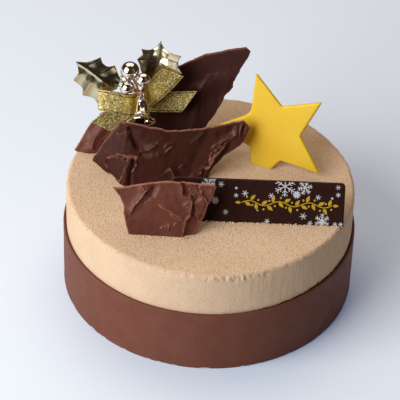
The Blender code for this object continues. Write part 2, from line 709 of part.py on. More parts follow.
def make_pick(mousse):
    """The gilt pick: stem, leaves, berries, bow and bell, on one leaning frame."""
    gilt = material("gilt_plastic", (0.62, 0.53, 0.36), 0.22, 0.9)
    lame = material("gold_ribbon", (0.42, 0.32, 0.10), 0.45, 0.6)
    stem_look = material("clear_green_plastic", (0.45, 0.52, 0.36), 0.3)
    pick = bpy.data.objects.new("pick", None)
    collection(COLLECTION).objects.link(pick)
    pick.location = KNOT
    pick.rotation_euler = (math.radians(-PICK_LEAN), 0.0, 0.0)
    make_leaves(gilt, pick)
    make_berries(gilt, pick)
    make_ribbon(lame, pick)
    make_bell(gilt, pick)
    drop = (KNOT[2] - CAKE_HEIGHT) / math.cos(math.radians(PICK_LEAN))
    foot = -drop - PICK_STEM_DEPTH
    axis = 2.5 * MM
    stem = rod("pick_stem", (0.0, axis, -6.4 * MM), (0.0, axis, foot), PICK_STEM, stem_look, 12)
    slot = rod("pick_slot", (0.0, axis, -6.2 * MM), (0.0, axis, foot - CLEARANCE),
               PICK_STEM + CLEARANCE, None, 12, guide=True)
    for piece in (stem, slot):
        piece.parent = pick
    smooth(stem)
    cut(mousse, slot)


def main():
    """Build the cake."""
    empty_scene()
    mousse = make_mousse()
    make_band()
    make_star(mousse)
    make_plaque(mousse)
    shard_look = material("dark_chocolate_shard", (0.085, 0.032, 0.022), 0.4)
    make_front_shard(shard_look, mousse)
    make_middle_shard(shard_look, mousse)
    make_back_shard(shard_look, mousse)
    make_left_shard(shard_look, mousse)
    make_pick(mousse)
    bpy.context.view_layer.update()


main()
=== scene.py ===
"""Looks of a round mousse cake in a chocolate band, with shards, a star, a plaque and a gilt pick.

The frame is in metres and every size here is in millimetres. The origin is on the cake's axis, on
the surface that the cake stands on, and -Y is the side that faces the viewer.
"""
import logging
import math
from dataclasses import dataclass
from enum import Enum
from typing import Callable, Iterable, Optional, Sequence, Union

import bmesh
import bpy
import numpy as np
from mathutils import Matrix, Vector
from mathutils.geometry import delaunay_2d_cdt


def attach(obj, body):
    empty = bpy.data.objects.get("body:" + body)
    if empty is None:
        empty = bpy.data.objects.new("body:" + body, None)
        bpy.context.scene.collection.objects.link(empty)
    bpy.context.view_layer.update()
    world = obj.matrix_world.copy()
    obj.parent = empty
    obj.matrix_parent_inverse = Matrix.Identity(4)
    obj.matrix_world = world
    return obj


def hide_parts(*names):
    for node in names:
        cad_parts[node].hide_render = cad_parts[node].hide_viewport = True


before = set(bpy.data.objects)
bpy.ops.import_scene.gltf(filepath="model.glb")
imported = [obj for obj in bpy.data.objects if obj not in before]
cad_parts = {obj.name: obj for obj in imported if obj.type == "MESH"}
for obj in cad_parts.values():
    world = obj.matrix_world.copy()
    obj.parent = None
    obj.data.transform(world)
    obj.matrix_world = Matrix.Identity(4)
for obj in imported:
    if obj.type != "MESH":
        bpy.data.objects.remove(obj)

MM = 0.001
CAKE_TOP = 59.5
BAND_HEIGHT = 35.5
BODY = "root"

Array = np.ndarray
Path = Sequence[tuple[float, float]]
Corners = list[tuple[float, float]]
Faces = list[tuple[int, ...]]
Tree = bpy.types.NodeTree
Node = bpy.types.Node
Field = Callable[[Array], Array]
Surface = Callable[[Array, Array, Array], Array]
Socket = bpy.types.NodeSocket
Value = Union[float, Sequence[float], Socket]

log = logging.getLogger("mousse_cake")


def linear(code: str) -> tuple[float, float, float, float]:
    """Turn an sRGB hex colour to linear light.

    Args:
        code: The colour, such as "#d9b58f".

    Returns:
        Red, green, blue and an alpha of 1.
    """
    shares = [int(code[i:i + 2], 16) / 255 for i in (1, 3, 5)]
    bright = [c / 12.92 if c <= 0.04045 else ((c + 0.055) / 1.055) ** 2.4 for c in shares]
    return (bright[0], bright[1], bright[2], 1.0)


def add_node(tree: Tree, kind: str, sockets: Optional[dict] = None,
             output: Union[int, str] = 0, feeds: Optional[Socket] = None, **settings: object) -> Socket:
    """Add a node with its settings, its values and its links.

    Args:
        tree: The tree that takes the node.
        kind: The node's type.
        sockets: Input names or numbers, each with a value or with the output that feeds it.
        output: The name or number of the output that is wanted.
        feeds: An input that this output is linked to.
        **settings: The node's own properties.

    Returns:
        The output that is wanted.
    """
    node = tree.nodes.new(kind)
    for name, value in settings.items():
        setattr(node, name, value)
    for socket, value in (sockets or {}).items():
        if isinstance(value, Socket):
            tree.links.new(value, node.inputs[socket])
        else:
            node.inputs[socket].default_value = value
    if feeds is not None:
        tree.links.new(node.outputs[output], feeds)
    return node.outputs[output]


def settle(shader: Node, values: dict[str, Union[float, Sequence[float]]]) -> None:
    """Set plain values on a shader's own sockets."""
    for name, value in values.items():
        shader.inputs[name].default_value = value


class Slot(Enum):
    """The record's material slots."""

    MOUSSE = "mousse"
    BAND = "band_chocolate"
    YELLOW = "yellow_chocolate"
    PLAQUE = "plaque_chocolate"
    SHARD = "shard_chocolate"
    GILT = "gilt"
    RIBBON = "ribbon"
    PICK = "pick_plastic"
    WHITE = "white_print"
    GOLD = "gold_print"


@dataclass(frozen=True)
class Finish:
    """A finish: what every one of them states, and the shader that they start from."""

    name: str
    slot: Optional[Slot]
    colour: str
    roughness: float = 0.5
    metallic: float = 0.0

    def material(self) -> bpy.types.Material:
        """Make the material, or find it where it is made already.

        Returns:
            The material, with the finish's own pattern.
        """
        made = bpy.data.materials.get(self.name)
        if made is None:
            made = bpy.data.materials.new(self.name)
            made.use_nodes = True
            shader = made.node_tree.nodes["Principled BSDF"]
            shader.inputs["Base Color"].default_value = linear(self.colour)
            shader.inputs["Roughness"].default_value = self.roughness
            shader.inputs["Metallic"].default_value = self.metallic
            self.dress(made.node_tree, shader)
        return made

    def dress(self, tree: Tree, shader: Node) -> None:
        """Add the finish's own pattern to the shader."""

    def paint(self, tree: Tree, shader: Node,
              layers: Sequence[tuple[Socket, str]]) -> None:
        """Lay colours over the finish's own one.

        Args:
            tree: The material's tree.
            shader: The shader that takes the colour.
            layers: From the lowest, how much of each shows, 0 to 1, and its sRGB colour.
        """
        colour: Value = linear(self.colour)
        for amount, code in layers:
            colour = add_node(tree, "ShaderNodeMix", {0: amount, 6: colour, 7: linear(code)}, 2,
                              data_type="RGBA")
        tree.links.new(colour, shader.inputs["Base Color"])

    def blotches(self, tree: Tree, size: float, low: float = 0.0, high: float = 1.0,
                 least: float = 0.0, most: float = 1.0, detail: float = 3.0) -> Socket:
        """Blotches over the object's own coordinates.

        Args:
            tree: The material's tree.
            size: Their size, in millimetres.
            low: The noise, 0 to 1, at which they start.
            high: The noise at which they are full.
            least: What comes out beside them.
            most: What comes out inside them.
            detail: How much finer noise is added to them.

        Returns:
            The number at each point.
        """
        place = add_node(tree, "ShaderNodeTexCoord", output="Object")
        noise = add_node(tree, "ShaderNodeTexNoise", {"Vector": place, "Scale": 1.0 / (size * MM),
                                                      "Detail": detail, "Roughness": 0.55}, "Fac")
        return add_node(tree, "ShaderNodeMapRange", {0: noise, 1: low, 2: high, 3: least, 4: most})

    def marked(self, tree: Tree, name: str, low: float = 0.0, high: float = 1.0,
               most: float = 1.0) -> Socket:
        """How much of a mark the mesh carries, as 0 under a low value and the most over a high one."""
        mark = add_node(tree, "ShaderNodeAttribute", output="Fac", attribute_name=name)
        return add_node(tree, "ShaderNodeMapRange", {0: mark, 1: low, 2: high, 3: 0.0, 4: most})


@dataclass(frozen=True)
class VelvetSpray(Finish):
    """Cocoa butter and chocolate sprayed warm on frozen mousse, which sets in dry soft grains.

    It has no gloss at all. The gap between its grains is painted darker and browner as shade,
    and painted shade darkens it along the band's top.
    """

    shade_and_speck_colour: str = "#8a674a"
    band_shade_colour: str = "#3a2415"     # painted shade along the band's top edge
    grain: float = 0.72
    pile: float = 0.20

    def dress(self, tree: Tree, shader: Node) -> None:
        """Round the grains, paint shade in the gap between them and along the band, and add slow blotches
        from the spray.

        Args:
            tree: The material's nodes.
            shader: The shader that they feed.
        """
        place = add_node(tree, "ShaderNodeTexCoord", output="Object")
        wobble = add_node(tree, "ShaderNodeTexNoise", {"Vector": place, "Scale": 1.0 / (0.6 * MM),
                                                       "Detail": 1.0}, "Color")
        pushed = add_node(tree, "ShaderNodeVectorMath", {0: wobble, 1: (0.35 * MM,) * 3, 2: place},
                          operation="MULTIPLY_ADD")
        away = add_node(tree, "ShaderNodeTexVoronoi", {"Vector": pushed,
                                                       "Scale": 1.0 / (self.grain * MM)}, "Distance")
        level = self.marked(tree, "level")
        gap_shade = add_node(tree, "ShaderNodeMapRange", {0: away, 1: 0.35, 2: 0.85, 3: 0.0, 4: 0.42})
        seen = add_node(tree, "ShaderNodeMath", {0: gap_shade, 1: level}, operation="MULTIPLY")
        # Painted shade between the grains and along the band's top; the blotches and specks are the spray's
        # own tone.
        self.paint(tree, shader, [(seen, self.shade_and_speck_colour),
                                  (self.blotches(tree, 14.0, 0.3, 0.7, most=0.10), self.shade_and_speck_colour),
                                  (self.blotches(tree, 1.1, 0.64, 0.74, most=0.13, detail=1.0),
                                   self.shade_and_speck_colour),
                                  (self.marked(tree, "deep"), self.band_shade_colour)])
        crowns = add_node(tree, "ShaderNodeMapRange", {0: away, 1: 0.0, 2: 1.0, 3: 1.0, 4: 0.0})
        height = add_node(tree, "ShaderNodeMath", {0: crowns, 1: level}, operation="MULTIPLY")
        add_node(tree, "ShaderNodeBump", {"Height": height, "Distance": self.pile * MM},
                 feeds=shader.inputs["Normal"])
        settle(shader, {"Specular IOR Level": 0.08, "Sheen Weight": 0.25, "Sheen Roughness": 0.6,
                        "Sheen Tint": linear(self.colour)})


@dataclass(frozen=True)
class Chocolate(Finish):
    """Chocolate that set against a sheet or in the air: satin, with a paler rim colour painted on its edges.

    Fat bloom leaves faint pale specks in it. On the shards the orange-brown rim colour is painted light:
    a glow through thin edges, and highlights on torn lips; on the band it marks rubbed edges.
    """

    rim_colour: str = "#8a4f33"
    rim_share: float = 0.8
    speck_colour: str = "#8d6556"
    speck_share: float = 0.2
    speck: float = 0.5
    grain: float = 0.8
    depth: float = 0.03
    gloss: float = 0.3
    gloss_colour: str = "#f2cfc0"
    sheen: float = 0.0
    sheen_colour: str = "#c08468"

    def dress(self, tree: Tree, shader: Node) -> None:
        """Add the clouds, the specks, the paler rim with its painted light, and a fine unevenness.

        Args:
            tree: The material's nodes.
            shader: The shader that they feed.
        """
        settle(shader, {"Specular IOR Level": self.gloss, "Specular Tint": linear(self.gloss_colour),
                        "Sheen Weight": self.sheen, "Sheen Roughness": 0.45,
                        "Sheen Tint": linear(self.sheen_colour)})
        # On the shards the rim colour is painted light: a glow on thin edges, and highlights on torn lips.
        self.paint(tree, shader, [(self.blotches(tree, 9.0, 0.3, 0.7, most=0.25), self.speck_colour),
                                  (self.blotches(tree, self.speck, 0.60, 0.72, most=self.speck_share,
                                                 detail=1.0), self.speck_colour),
                                  (self.marked(tree, "rim", 0.1, 1.0, self.rim_share), self.rim_colour)])
        smear = self.blotches(tree, 3.0, 0.35, 0.65, self.roughness - 0.06, self.roughness + 0.08)
        tree.links.new(smear, shader.inputs["Roughness"])
        add_node(tree, "ShaderNodeBump", {"Height": self.blotches(tree, self.grain, detail=4.0),
                                          "Distance": self.depth * MM}, feeds=shader.inputs["Normal"])


@dataclass(frozen=True)
class OrangeCentredChocolate(Finish):
    """White chocolate coloured yellow right through, and deeper orange toward a point low at its middle."""

    orange_colour: str = "#c98f00"
    edge_shade_colour: str = "#d9a010"
    centre: tuple[float, float, float] = (0.0, 0.0, 0.0)
    reach: float = 17.0

    def dress(self, tree: Tree, shader: Node) -> None:
        """Fade the orange out from its centre, and darken the edge a little with painted shade.

        Args:
            tree: The material's nodes.
            shader: The shader that they feed.
        """
        place = add_node(tree, "ShaderNodeTexCoord", output="Object")
        away = add_node(tree, "ShaderNodeVectorMath", {0: place, 1: [c * MM for c in self.centre]},
                        "Value", operation="DISTANCE")
        mist = add_node(tree, "ShaderNodeMath", {0: self.blotches(tree, 1.2), 1: 3.0 * MM, 2: away},
                        operation="MULTIPLY_ADD")
        fade = add_node(tree, "ShaderNodeMapRange", {0: mist, 1: 3.0 * MM, 2: self.reach * MM,
                                                     3: 0.7, 4: 0.0})
        # Painted shade darkens the edge a little.
        self.paint(tree, shader, [(fade, self.orange_colour),
                                  (self.marked(tree, "rim", 0.3, 1.0, 0.5), self.edge_shade_colour)])
        add_node(tree, "ShaderNodeBump", {"Height": self.blotches(tree, 0.9), "Distance": 0.035 * MM},
                 feeds=shader.inputs["Normal"])
        settle(shader, {"Specular IOR Level": 0.25, "Subsurface Weight": 0.5,
                        "Subsurface Radius": (6.0, 4.0, 1.0), "Subsurface Scale": 1.0 * MM})


@dataclass(frozen=True)
class MetallisedPlastic(Finish):
    """Moulded plastic with a vacuum-deposited metal film: a mirror, slightly rippled by the mould.

    The mark "rim" darkens it toward a browner colour at its edges, and on the leaves it carries painted
    shade for their dark reflections: over one half, toward the root and behind each vein.
    """

    # Painted shade: the leaves' dark reflections, and darker edges.
    painted_shade_colour: str = "#2b281e"
    ripple: float = 4.0
    depth: float = 0.02

    def dress(self, tree: Tree, shader: Node) -> None:
        """Add the painted shade from the mark "rim", the ripple and faint fingermarks in the gloss.

        Args:
            tree: The material's nodes.
            shader: The shader that they feed.
        """
        self.paint(tree, shader, [(self.marked(tree, "rim", most=0.9), self.painted_shade_colour)])
        add_node(tree, "ShaderNodeBump", {"Height": self.blotches(tree, self.ripple, detail=1.0),
                                          "Distance": self.depth * MM}, feeds=shader.inputs["Normal"])
        marks = self.blotches(tree, 2.5, 0.4, 0.7, self.roughness, self.roughness + 0.08)
        tree.links.new(marks, shader.inputs["Roughness"])


@dataclass(frozen=True)
class LameRibbon(Finish):
    """Woven nylon ribbon with flat metal threads, which glitter one by one, and a dark selvedge thread.

    A thread is about 0.25 mm wide, too fine to show here, so the glitter is drawn at 0.5 mm.
    """

    dark_colour: str = "#5a4c20"
    spark_colour: str = "#fff6c8"
    deep_colour: str = "#cba619"     # painted light through the double layer by the knot
    thread_colour: str = "#2a2412"
    glitter: float = 0.5
    seam_at: float = 0.85
    seam_width: float = 0.24
    stitch: float = 1.7

    def dress(self, tree: Tree, shader: Node) -> None:
        """Scatter bright and dark threads, paint light through the double layer by the knot, and draw the
        selvedge line.

        Args:
            tree: The material's nodes.
            shader: The shader that they feed.
        """
        place = add_node(tree, "ShaderNodeTexCoord", output="Object")
        cells = add_node(tree, "ShaderNodeTexVoronoi", {"Vector": place,
                                                        "Scale": 1.0 / (self.glitter * MM)}, "Color")
        draw = [add_node(tree, "ShaderNodeSeparateColor", {0: cells}, k) for k in range(3)]
        dark = add_node(tree, "ShaderNodeMapRange", {0: draw[0], 1: 0.10, 2: 0.55, 3: 0.85, 4: 0.0})
        spark = add_node(tree, "ShaderNodeMapRange", {0: draw[1], 1: 0.68, 2: 0.92})
        # Painted light through the double layer, strongest near the knot.
        near = self.marked(tree, "near", 0.25, 0.8, 0.75)
        inset = add_node(tree, "ShaderNodeAttribute", output="Fac", attribute_name="inset")
        line = add_node(tree, "ShaderNodeMath", {0: inset, 1: self.seam_at, 2: self.seam_width},
                        operation="COMPARE")
        along = add_node(tree, "ShaderNodeAttribute", output="Fac", attribute_name="along")
        swing = add_node(tree, "ShaderNodeMath", {0: along, 1: self.stitch}, operation="PINGPONG")
        dash = add_node(tree, "ShaderNodeMapRange", {0: swing, 1: 0.2, 2: 0.6, 3: 0.35, 4: 1.0})
        seam = add_node(tree, "ShaderNodeMath", {0: line, 1: dash}, operation="MULTIPLY")
        self.paint(tree, shader, [(dark, self.dark_colour), (spark, self.spark_colour),
                                  (near, self.deep_colour), (seam, self.thread_colour)])
        shine = add_node(tree, "ShaderNodeMapRange", {0: draw[2], 3: 0.22, 4: 0.6})
        tree.links.new(shine, shader.inputs["Roughness"])
        matt = add_node(tree, "ShaderNodeMath", {0: seam, 1: near}, operation="MAXIMUM")
        add_node(tree, "ShaderNodeMapRange", {0: matt, 3: self.metallic, 4: 0.0},
                 feeds=shader.inputs["Metallic"])
        add_node(tree, "ShaderNodeBump", {"Height": draw[2], "Distance": 0.3 * MM},
                 feeds=shader.inputs["Normal"])


@dataclass(frozen=True)
class ClearPlastic(Finish):
    """Polystyrene tinted in the mass, which lets light through."""

    clear: float = 0.55

    def dress(self, tree: Tree, shader: Node) -> None:
        """Let the light through, with a faint unevenness of the moulding.

        Args:
            tree: The material's nodes.
            shader: The shader that they feed.
        """
        settle(shader, {"Transmission Weight": self.clear, "IOR": 1.49})
        add_node(tree, "ShaderNodeBump", {"Height": self.blotches(tree, 2.0), "Distance": 0.02 * MM},
                 feeds=shader.inputs["Normal"])


@dataclass(frozen=True)
class TransferPrint(Finish):
    """Coloured cocoa butter that the chocolate took up from a printed sheet: thin and a little rubbed."""

    worn_colour: str = "#8f8a88"
    wear: float = 0.5

    def dress(self, tree: Tree, shader: Node) -> None:
        """Let the ground show through where the print is thin.

        Args:
            tree: The material's nodes.
            shader: The shader that they feed.
        """
        patches = self.blotches(tree, 0.8, 0.45, 0.68, most=self.wear, detail=2.0)
        thin = add_node(tree, "ShaderNodeMath", {0: patches, 1: self.marked(tree, "faint")},
                        operation="MAXIMUM")
        self.paint(tree, shader, [(thin, self.worn_colour)])


@dataclass(frozen=True)
class Backdrop(Finish):
    """Matt board under the cake."""

    cloud_colour: str = "#cfd8e0"
    glow_colour: str = "#1090ff"
    glow: float = 0.12

    def dress(self, tree: Tree, shader: Node) -> None:
        """Keep it plain: a very faint cloud, and a faint cool glow that lifts its shadows.

        Args:
            tree: The material's nodes.
            shader: The shader that they feed.
        """
        settle(shader, {"Emission Color": linear(self.glow_colour), "Emission Strength": self.glow})
        self.paint(tree, shader, [(self.blotches(tree, 300.0, 0.3, 0.7, most=0.06), self.cloud_colour)])


# Frozen mousse sprayed with warm cocoa butter: quite dull, with painted shade between its grains and along
# the band.
VELVET = VelvetSpray("velvet_sprayed_mousse", Slot.MOUSSE, "#d2b799", 1.0)
# Tempered dark chocolate spread on a rough strip: a dusty satin, reddish where it is rubbed.
BAND = Chocolate("band_dark_chocolate", Slot.BAND, "#643a2d", 0.6, rim_colour="#6d4030",
                 rim_share=0.4, speck_colour="#7d5344", speck_share=0.3, speck=0.45, gloss=0.2)
# Dark chocolate that was bent and broken as it set: satin, with rougher breaks that carry painted light.
BROKEN = Chocolate("broken_dark_chocolate", Slot.SHARD, "#512c23", 0.36, rim_colour="#a8705a",
                   rim_share=0.75, speck_colour="#845040", speck_share=0.5, gloss=0.24, sheen=0.32)
# The same, scraped while soft: darker, with a silky sheen and painted highlights on its torn lips.
SCRAPED = Chocolate("scraped_dark_chocolate", Slot.SHARD, "#311812", 0.3, rim_colour="#9c6656",
                    rim_share=0.75, speck_colour="#4d2b22", speck_share=0.2, gloss=0.12, sheen=0.45,
                    sheen_colour="#b87e6c")
# The same, set against film: nearly black, with one broad soft highlight.
SMOOTH = Chocolate("smooth_dark_chocolate", Slot.SHARD, "#3a201c", 0.4, rim_colour="#7d452e",
                   rim_share=0.6, speck_colour="#472d29", speck_share=0.15, gloss=0.24,
                   gloss_colour="#f2cabc", sheen=0.12, sheen_colour="#b8847a")
# Dark chocolate moulded in a polished tray: nearly black and the glossiest of them.
TABLET = Chocolate("moulded_dark_chocolate", Slot.PLAQUE, "#281512", 0.25, rim_colour="#3c231c",
                   rim_share=0.2, speck_colour="#38231f", speck_share=0.15, depth=0.012, gloss=0.26)
# Coloured white chocolate, moulded: light sinks in, and it turns deeper orange toward a point low in its
# middle.
YELLOW = OrangeCentredChocolate("yellow_white_chocolate", Slot.YELLOW, "#d9b72a", 0.5,
                             orange_colour="#cc9f0c", edge_shade_colour="#c79c1c", reach=20.0,
                             centre=(25.5, 19.0, 70.0))
# Polystyrene metallised in a vacuum and lacquered: a champagne mirror, a little soft.
GILT = MetallisedPlastic("champagne_metallised_plastic", Slot.GILT, "#dfd2ae", 0.17, 1.0, depth=0.008)
# The same with a clear lacquer: a bright mirror that shows the room.
CHROME = MetallisedPlastic("bright_metallised_plastic", Slot.GILT, "#d2cac0", 0.06, 1.0, depth=0.01)
# Drawn and lacquered copper wire: pink metal.
WIRE = MetallisedPlastic("rose_gold_wire", Slot.GILT, "#d9a982", 0.18, 1.0, depth=0.01)
# Woven lame: gold threads, some bright and some dark, between two selvedges.
LAME = LameRibbon("gold_lame_ribbon", Slot.RIBBON, "#cdb45c", 0.35, 0.7)
# Clear polystyrene, tinted and moulded: it takes the colour of what is behind it.
GREEN = ClearPlastic("green_clear_polystyrene", Slot.PICK, "#b9c79a", 0.25)
# White cocoa butter, printed: flat, dull and a little see-through.
WHITE_PRINT = TransferPrint("white_cocoa_butter_print", Slot.WHITE, "#bfc3c5", 0.5)
# Gold lustre in cocoa butter, printed: a soft metal shine that wears thin.
GOLD_PRINT = TransferPrint("gold_cocoa_butter_print", Slot.GOLD, "#cfab2b", 0.38, 0.3,
                           worn_colour="#9a7f22", wear=0.6)
# Painted board: pale and plain.
BOARD = Backdrop("pale_board", None, "#dbe3e4", 0.5)


def chance(cells: Array, seed: int) -> Array:
    """A repeatable random number, 0 to 1, for each row of whole numbers.

    Args:
        cells: The rows.
        seed: What tells one set of numbers from another.

    Returns:
        One number for each row.
    """
    keys = np.array([73856093, 19349663, 83492791], np.int64)[:cells.shape[1]]
    mixed = ((cells.astype(np.int64) * keys).sum(1) + seed * 2654435761) & 0xFFFFFFFF
    for shift, factor in ((15, 2246822519), (13, 3266489917), (16, 668265263)):
        mixed = (mixed ^ (mixed >> shift)) & 0xFFFFFFFF
        mixed = (mixed * (factor & 0x7FFFFFFF)) & 0xFFFFFFFF
    return (mixed ^ (mixed >> 15)) / 2.0 ** 32


def wave_noise(points: Array, size: float, seed: int) -> Array:
    """Smooth noise, -1 to 1, with blotches of a size.

    Args:
        points: One point a row, in two or three dimensions.
        size: The size of the blotches.
        seed: The draw's seed.

    Returns:
        The noise at each point.
    """
    scaled = points / size
    cell = np.floor(scaled).astype(int)
    part = scaled - cell
    part = part * part * (3 - 2 * part)
    total = np.zeros(len(points))
    for corner in np.ndindex(*(2,) * points.shape[1]):
        weight = np.prod(np.where(corner, part, 1 - part), axis=1)
        total += weight * chance(cell + np.array(corner), seed)
    return 2 * total - 1


def ease(value: Array) -> Array:
    """0 to 1, with soft ends."""
    value = np.clip(value, 0.0, 1.0)
    return value * value * (3 - 2 * value)


def along_path(points: Array, path: Path) -> tuple[Array, Array]:
    """Measure points against an open path.

    Args:
        points: One point a row.
        path: The path's points.

    Returns:
        The distance to the path, positive on its left, and the share of its length walked there.
    """
    start = np.asarray(path, float)[:-1]
    leg = np.diff(np.asarray(path, float), axis=0)
    length = np.hypot(leg[:, 0], leg[:, 1])
    off = points[:, None, :] - start
    share = np.clip((off * leg).sum(2) / length ** 2, 0.0, 1.0)
    gap = off - share[..., None] * leg
    distance = np.hypot(gap[..., 0], gap[..., 1])
    best = distance.argmin(1)
    row = np.arange(len(points))
    side = leg[best, 0] * off[row, best, 1] - leg[best, 1] * off[row, best, 0]
    walked = (np.cumsum(length) - length)[best] + share[row, best] * length[best]
    return np.where(side > 0, 1.0, -1.0) * distance[row, best], walked / length.sum()


def inside(points: Array, outline: Path) -> Array:
    """Whether each point is inside an outline.

    Args:
        points: Rows of (u, v).
        outline: The outline's corners, in order.

    Returns:
        True for each point that is inside.
    """
    corner = np.asarray(outline, float)
    before = np.roll(corner, 1, axis=0)
    x, y = points[:, :1], points[:, 1:2]
    crosses = (before[:, 1] > y) != (corner[:, 1] > y)
    rise = np.where(corner[:, 1] == before[:, 1], 1.0, corner[:, 1] - before[:, 1])
    at = (corner[:, 0] - before[:, 0]) * (y - before[:, 1]) / rise + before[:, 0]
    return (crosses & (x < at)).sum(1) % 2 == 1


def rounded_outline(corners: Path, radii: Sequence[float], steps: int = 8) -> Corners:
    """An outline whose corners are rounded, each by its own radius.

    Args:
        corners: The corners, in order.
        radii: The radius at each corner.
        steps: How finely each arc is divided.

    Returns:
        Its points, in order.
    """
    points = []
    for i, corner in enumerate(corners):
        here = Vector(corner)
        start = here + (Vector(corners[i - 1]) - here).normalized() * radii[i]
        end = here + (Vector(corners[(i + 1) % len(corners)]) - here).normalized() * radii[i]
        for k in range(steps + 1):
            t = k / steps
            points.append(tuple((1 - t) ** 2 * start + 2 * t * (1 - t) * here + t * t * end))
    return points


def curve_through(points: Sequence[Sequence[float]], steps: int) -> Array:
    """Points along a smooth curve through the given ones.

    Args:
        points: The points that it passes.
        steps: How finely each stretch is divided.

    Returns:
        Its points, one a row.
    """
    given = np.asarray(points, float)
    padded = np.concatenate((given[:1], given, given[-1:]))
    curve = []
    for i in range(len(given) - 1):
        p0, p1, p2, p3 = padded[i:i + 4]
        for k in range(steps):
            t = k / steps
            curve.append(0.5 * (2 * p1 + (p2 - p0) * t + (2 * p0 - 5 * p1 + 4 * p2 - p3) * t * t
                                + (3 * p1 - p0 - 3 * p2 + p3) * t ** 3))
    curve.append(given[-1])
    return np.array(curve)


def stand(origin: Sequence[float], turn: float = 0.0, lean: float = 0.0) -> Matrix:
    """The place of an upright piece: at a point, turned about Z and leaning back, in degrees."""
    return (Matrix.Translation(origin) @ Matrix.Rotation(math.radians(turn), 4, "Z")
            @ Matrix.Rotation(math.radians(-lean), 4, "X"))


def moved(points: Array, place: Matrix) -> Array:
    """Points after a place's turn and shift."""
    turn = np.array(place.to_3x3())
    return points @ turn.T + np.array(place.translation)


class Bits:
    """Points, faces and point marks that are gathered into one piece, in millimetres."""

    def __init__(self) -> None:
        """Start empty."""
        self.points: list[Array] = []
        self.faces: Faces = []
        self.marks: dict[str, list[Array]] = {}
        self.count = 0

    def add(self, points: Array, faces: Iterable[Sequence[int]], **marks: Union[float, Array]) -> None:
        """Add points and faces.

        Args:
            points: One point a row.
            faces: Faces, as numbers of these points.
            **marks: Numbers that the points carry, one each or one for all.
        """
        self.points.append(np.asarray(points, float))
        self.faces += [tuple(int(i) + self.count for i in face) for face in faces]
        for name, value in marks.items():
            self.marks.setdefault(name, []).append(np.broadcast_to(value, len(points)))
        self.count += len(points)

    def build(self, name: str, finish: Finish, nodes: Sequence[str] = (),
              place: Optional[Matrix] = None, angle: float = 40.0, merge: bool = True) -> None:
        """Make the piece, dress it, and set it on the cake.

        Args:
            name: The piece's name.
            finish: What it is covered with.
            nodes: The CAD nodes that it stands for.
            place: Where it stands, if its points aren't in the frame already.
            angle: The sharpest bend that is shaded smooth, in degrees.
            merge: Whether points that coincide become one.
        """
        points = np.concatenate(self.points)
        if place is not None:
            points = moved(points, place)
        mesh = bpy.data.meshes.new(name)
        mesh.from_pydata((points * MM).tolist(), [], self.faces)
        for mark, values in self.marks.items():
            layer = mesh.attributes.new(mark, "FLOAT", "POINT")
            layer.data.foreach_set("value", np.concatenate(values).astype(np.float32))
        if merge:
            work = bmesh.new()
            work.from_mesh(mesh)
            bmesh.ops.remove_doubles(work, verts=work.verts, dist=0.002 * MM)
            bmesh.ops.recalc_face_normals(work, faces=work.faces)
            work.to_mesh(mesh)
            work.free()
        mesh.shade_smooth()
        mesh.set_sharp_from_angle(angle=math.radians(angle))
        mesh.materials.append(finish.material())
        piece = bpy.data.objects.new(name, mesh)
        bpy.context.scene.collection.objects.link(piece)
        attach(piece, BODY)
        if nodes:
            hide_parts(*nodes)
        log.info("%s: %d points, %d faces", name, len(mesh.vertices), len(mesh.polygons))


def turned(profile: Path, steps: int, closed: bool = False) -> tuple[Array, Faces]:
    """Spin a profile of (radius, height) about Z.

    Args:
        profile: The profile's points.
        steps: How many there are round the axis.
        closed: Whether the profile's last point joins its first.

    Returns:
        The points, row by row, and the faces.
    """
    angle = np.linspace(0, 2 * np.pi, steps, endpoint=False)
    rows = [np.stack((r * np.cos(angle), r * np.sin(angle), np.full(steps, z)), 1) for r, z in profile]
    faces = []
    last = len(profile) if closed else len(profile) - 1
    for i in range(last):
        j = (i + 1) % len(profile)
        for k in range(steps):
            n = (k + 1) % steps
            faces.append((i * steps + k, j * steps + k, j * steps + n, i * steps + n))
    return np.concatenate(rows), faces


def tube(course: Array, radius: Union[float, Array], sides: int = 12) -> tuple[Array, Faces]:
    """A round rod along a course, shut at both ends.

    Args:
        course: Points along its middle, one a row.
        radius: Its radius, one for all or one for each point.
        sides: How many sides it has.

    Returns:
        The points and the faces.
    """
    radii = np.broadcast_to(radius, len(course))
    heading = np.gradient(course, axis=0)
    heading /= np.linalg.norm(heading, axis=1)[:, None]
    side = np.cross(heading[0], (0.31, 0.17, 0.93))
    angle = np.linspace(0, 2 * np.pi, sides, endpoint=False)
    rings = []
    for middle, along, size in zip(course, heading, radii):
        side = side - along * side.dot(along)
        side /= np.linalg.norm(side)
        other = np.cross(along, side)
        rings.append(middle + size * (np.cos(angle)[:, None] * side + np.sin(angle)[:, None] * other))
    faces = []
    for i in range(len(course) - 1):
        for k in range(sides):
            n = (k + 1) % sides
            faces.append((i * sides + k, i * sides + n, (i + 1) * sides + n, (i + 1) * sides + k))
    faces.append(tuple(reversed(range(sides))))
    faces.append(tuple(range((len(course) - 1) * sides, len(course) * sides)))
    return np.concatenate(rings), faces


def sphere(centre: Sequence[float], radius: float, across: int = 48) -> tuple[Array, Faces]:
    """A finely turned ball.

    Args:
        centre: Its middle.
        radius: Its radius.
        across: How finely it is divided.

    Returns:
        Its points and its faces.
    """
    tilt = np.linspace(np.pi / 2, -np.pi / 2, across // 2 + 1)
    profile = [(radius * math.cos(a), radius * math.sin(a)) for a in tilt]
    points, faces = turned(profile, across)
    return points + np.asarray(centre), faces


class Form(Enum):
    """The forms that a relief is made of."""

    RIDGE = "ridge"      # a soft ridge or hollow along a path
    PLATE = "plate"      # a step up on the path's left
    CREST = "crest"      # a torn lip: steep on the path's left, and a long slope on its right
    FLAP = "flap"        # a raised layer inside a closed path
    RUBBLE = "rubble"    # broken lumps inside a closed path


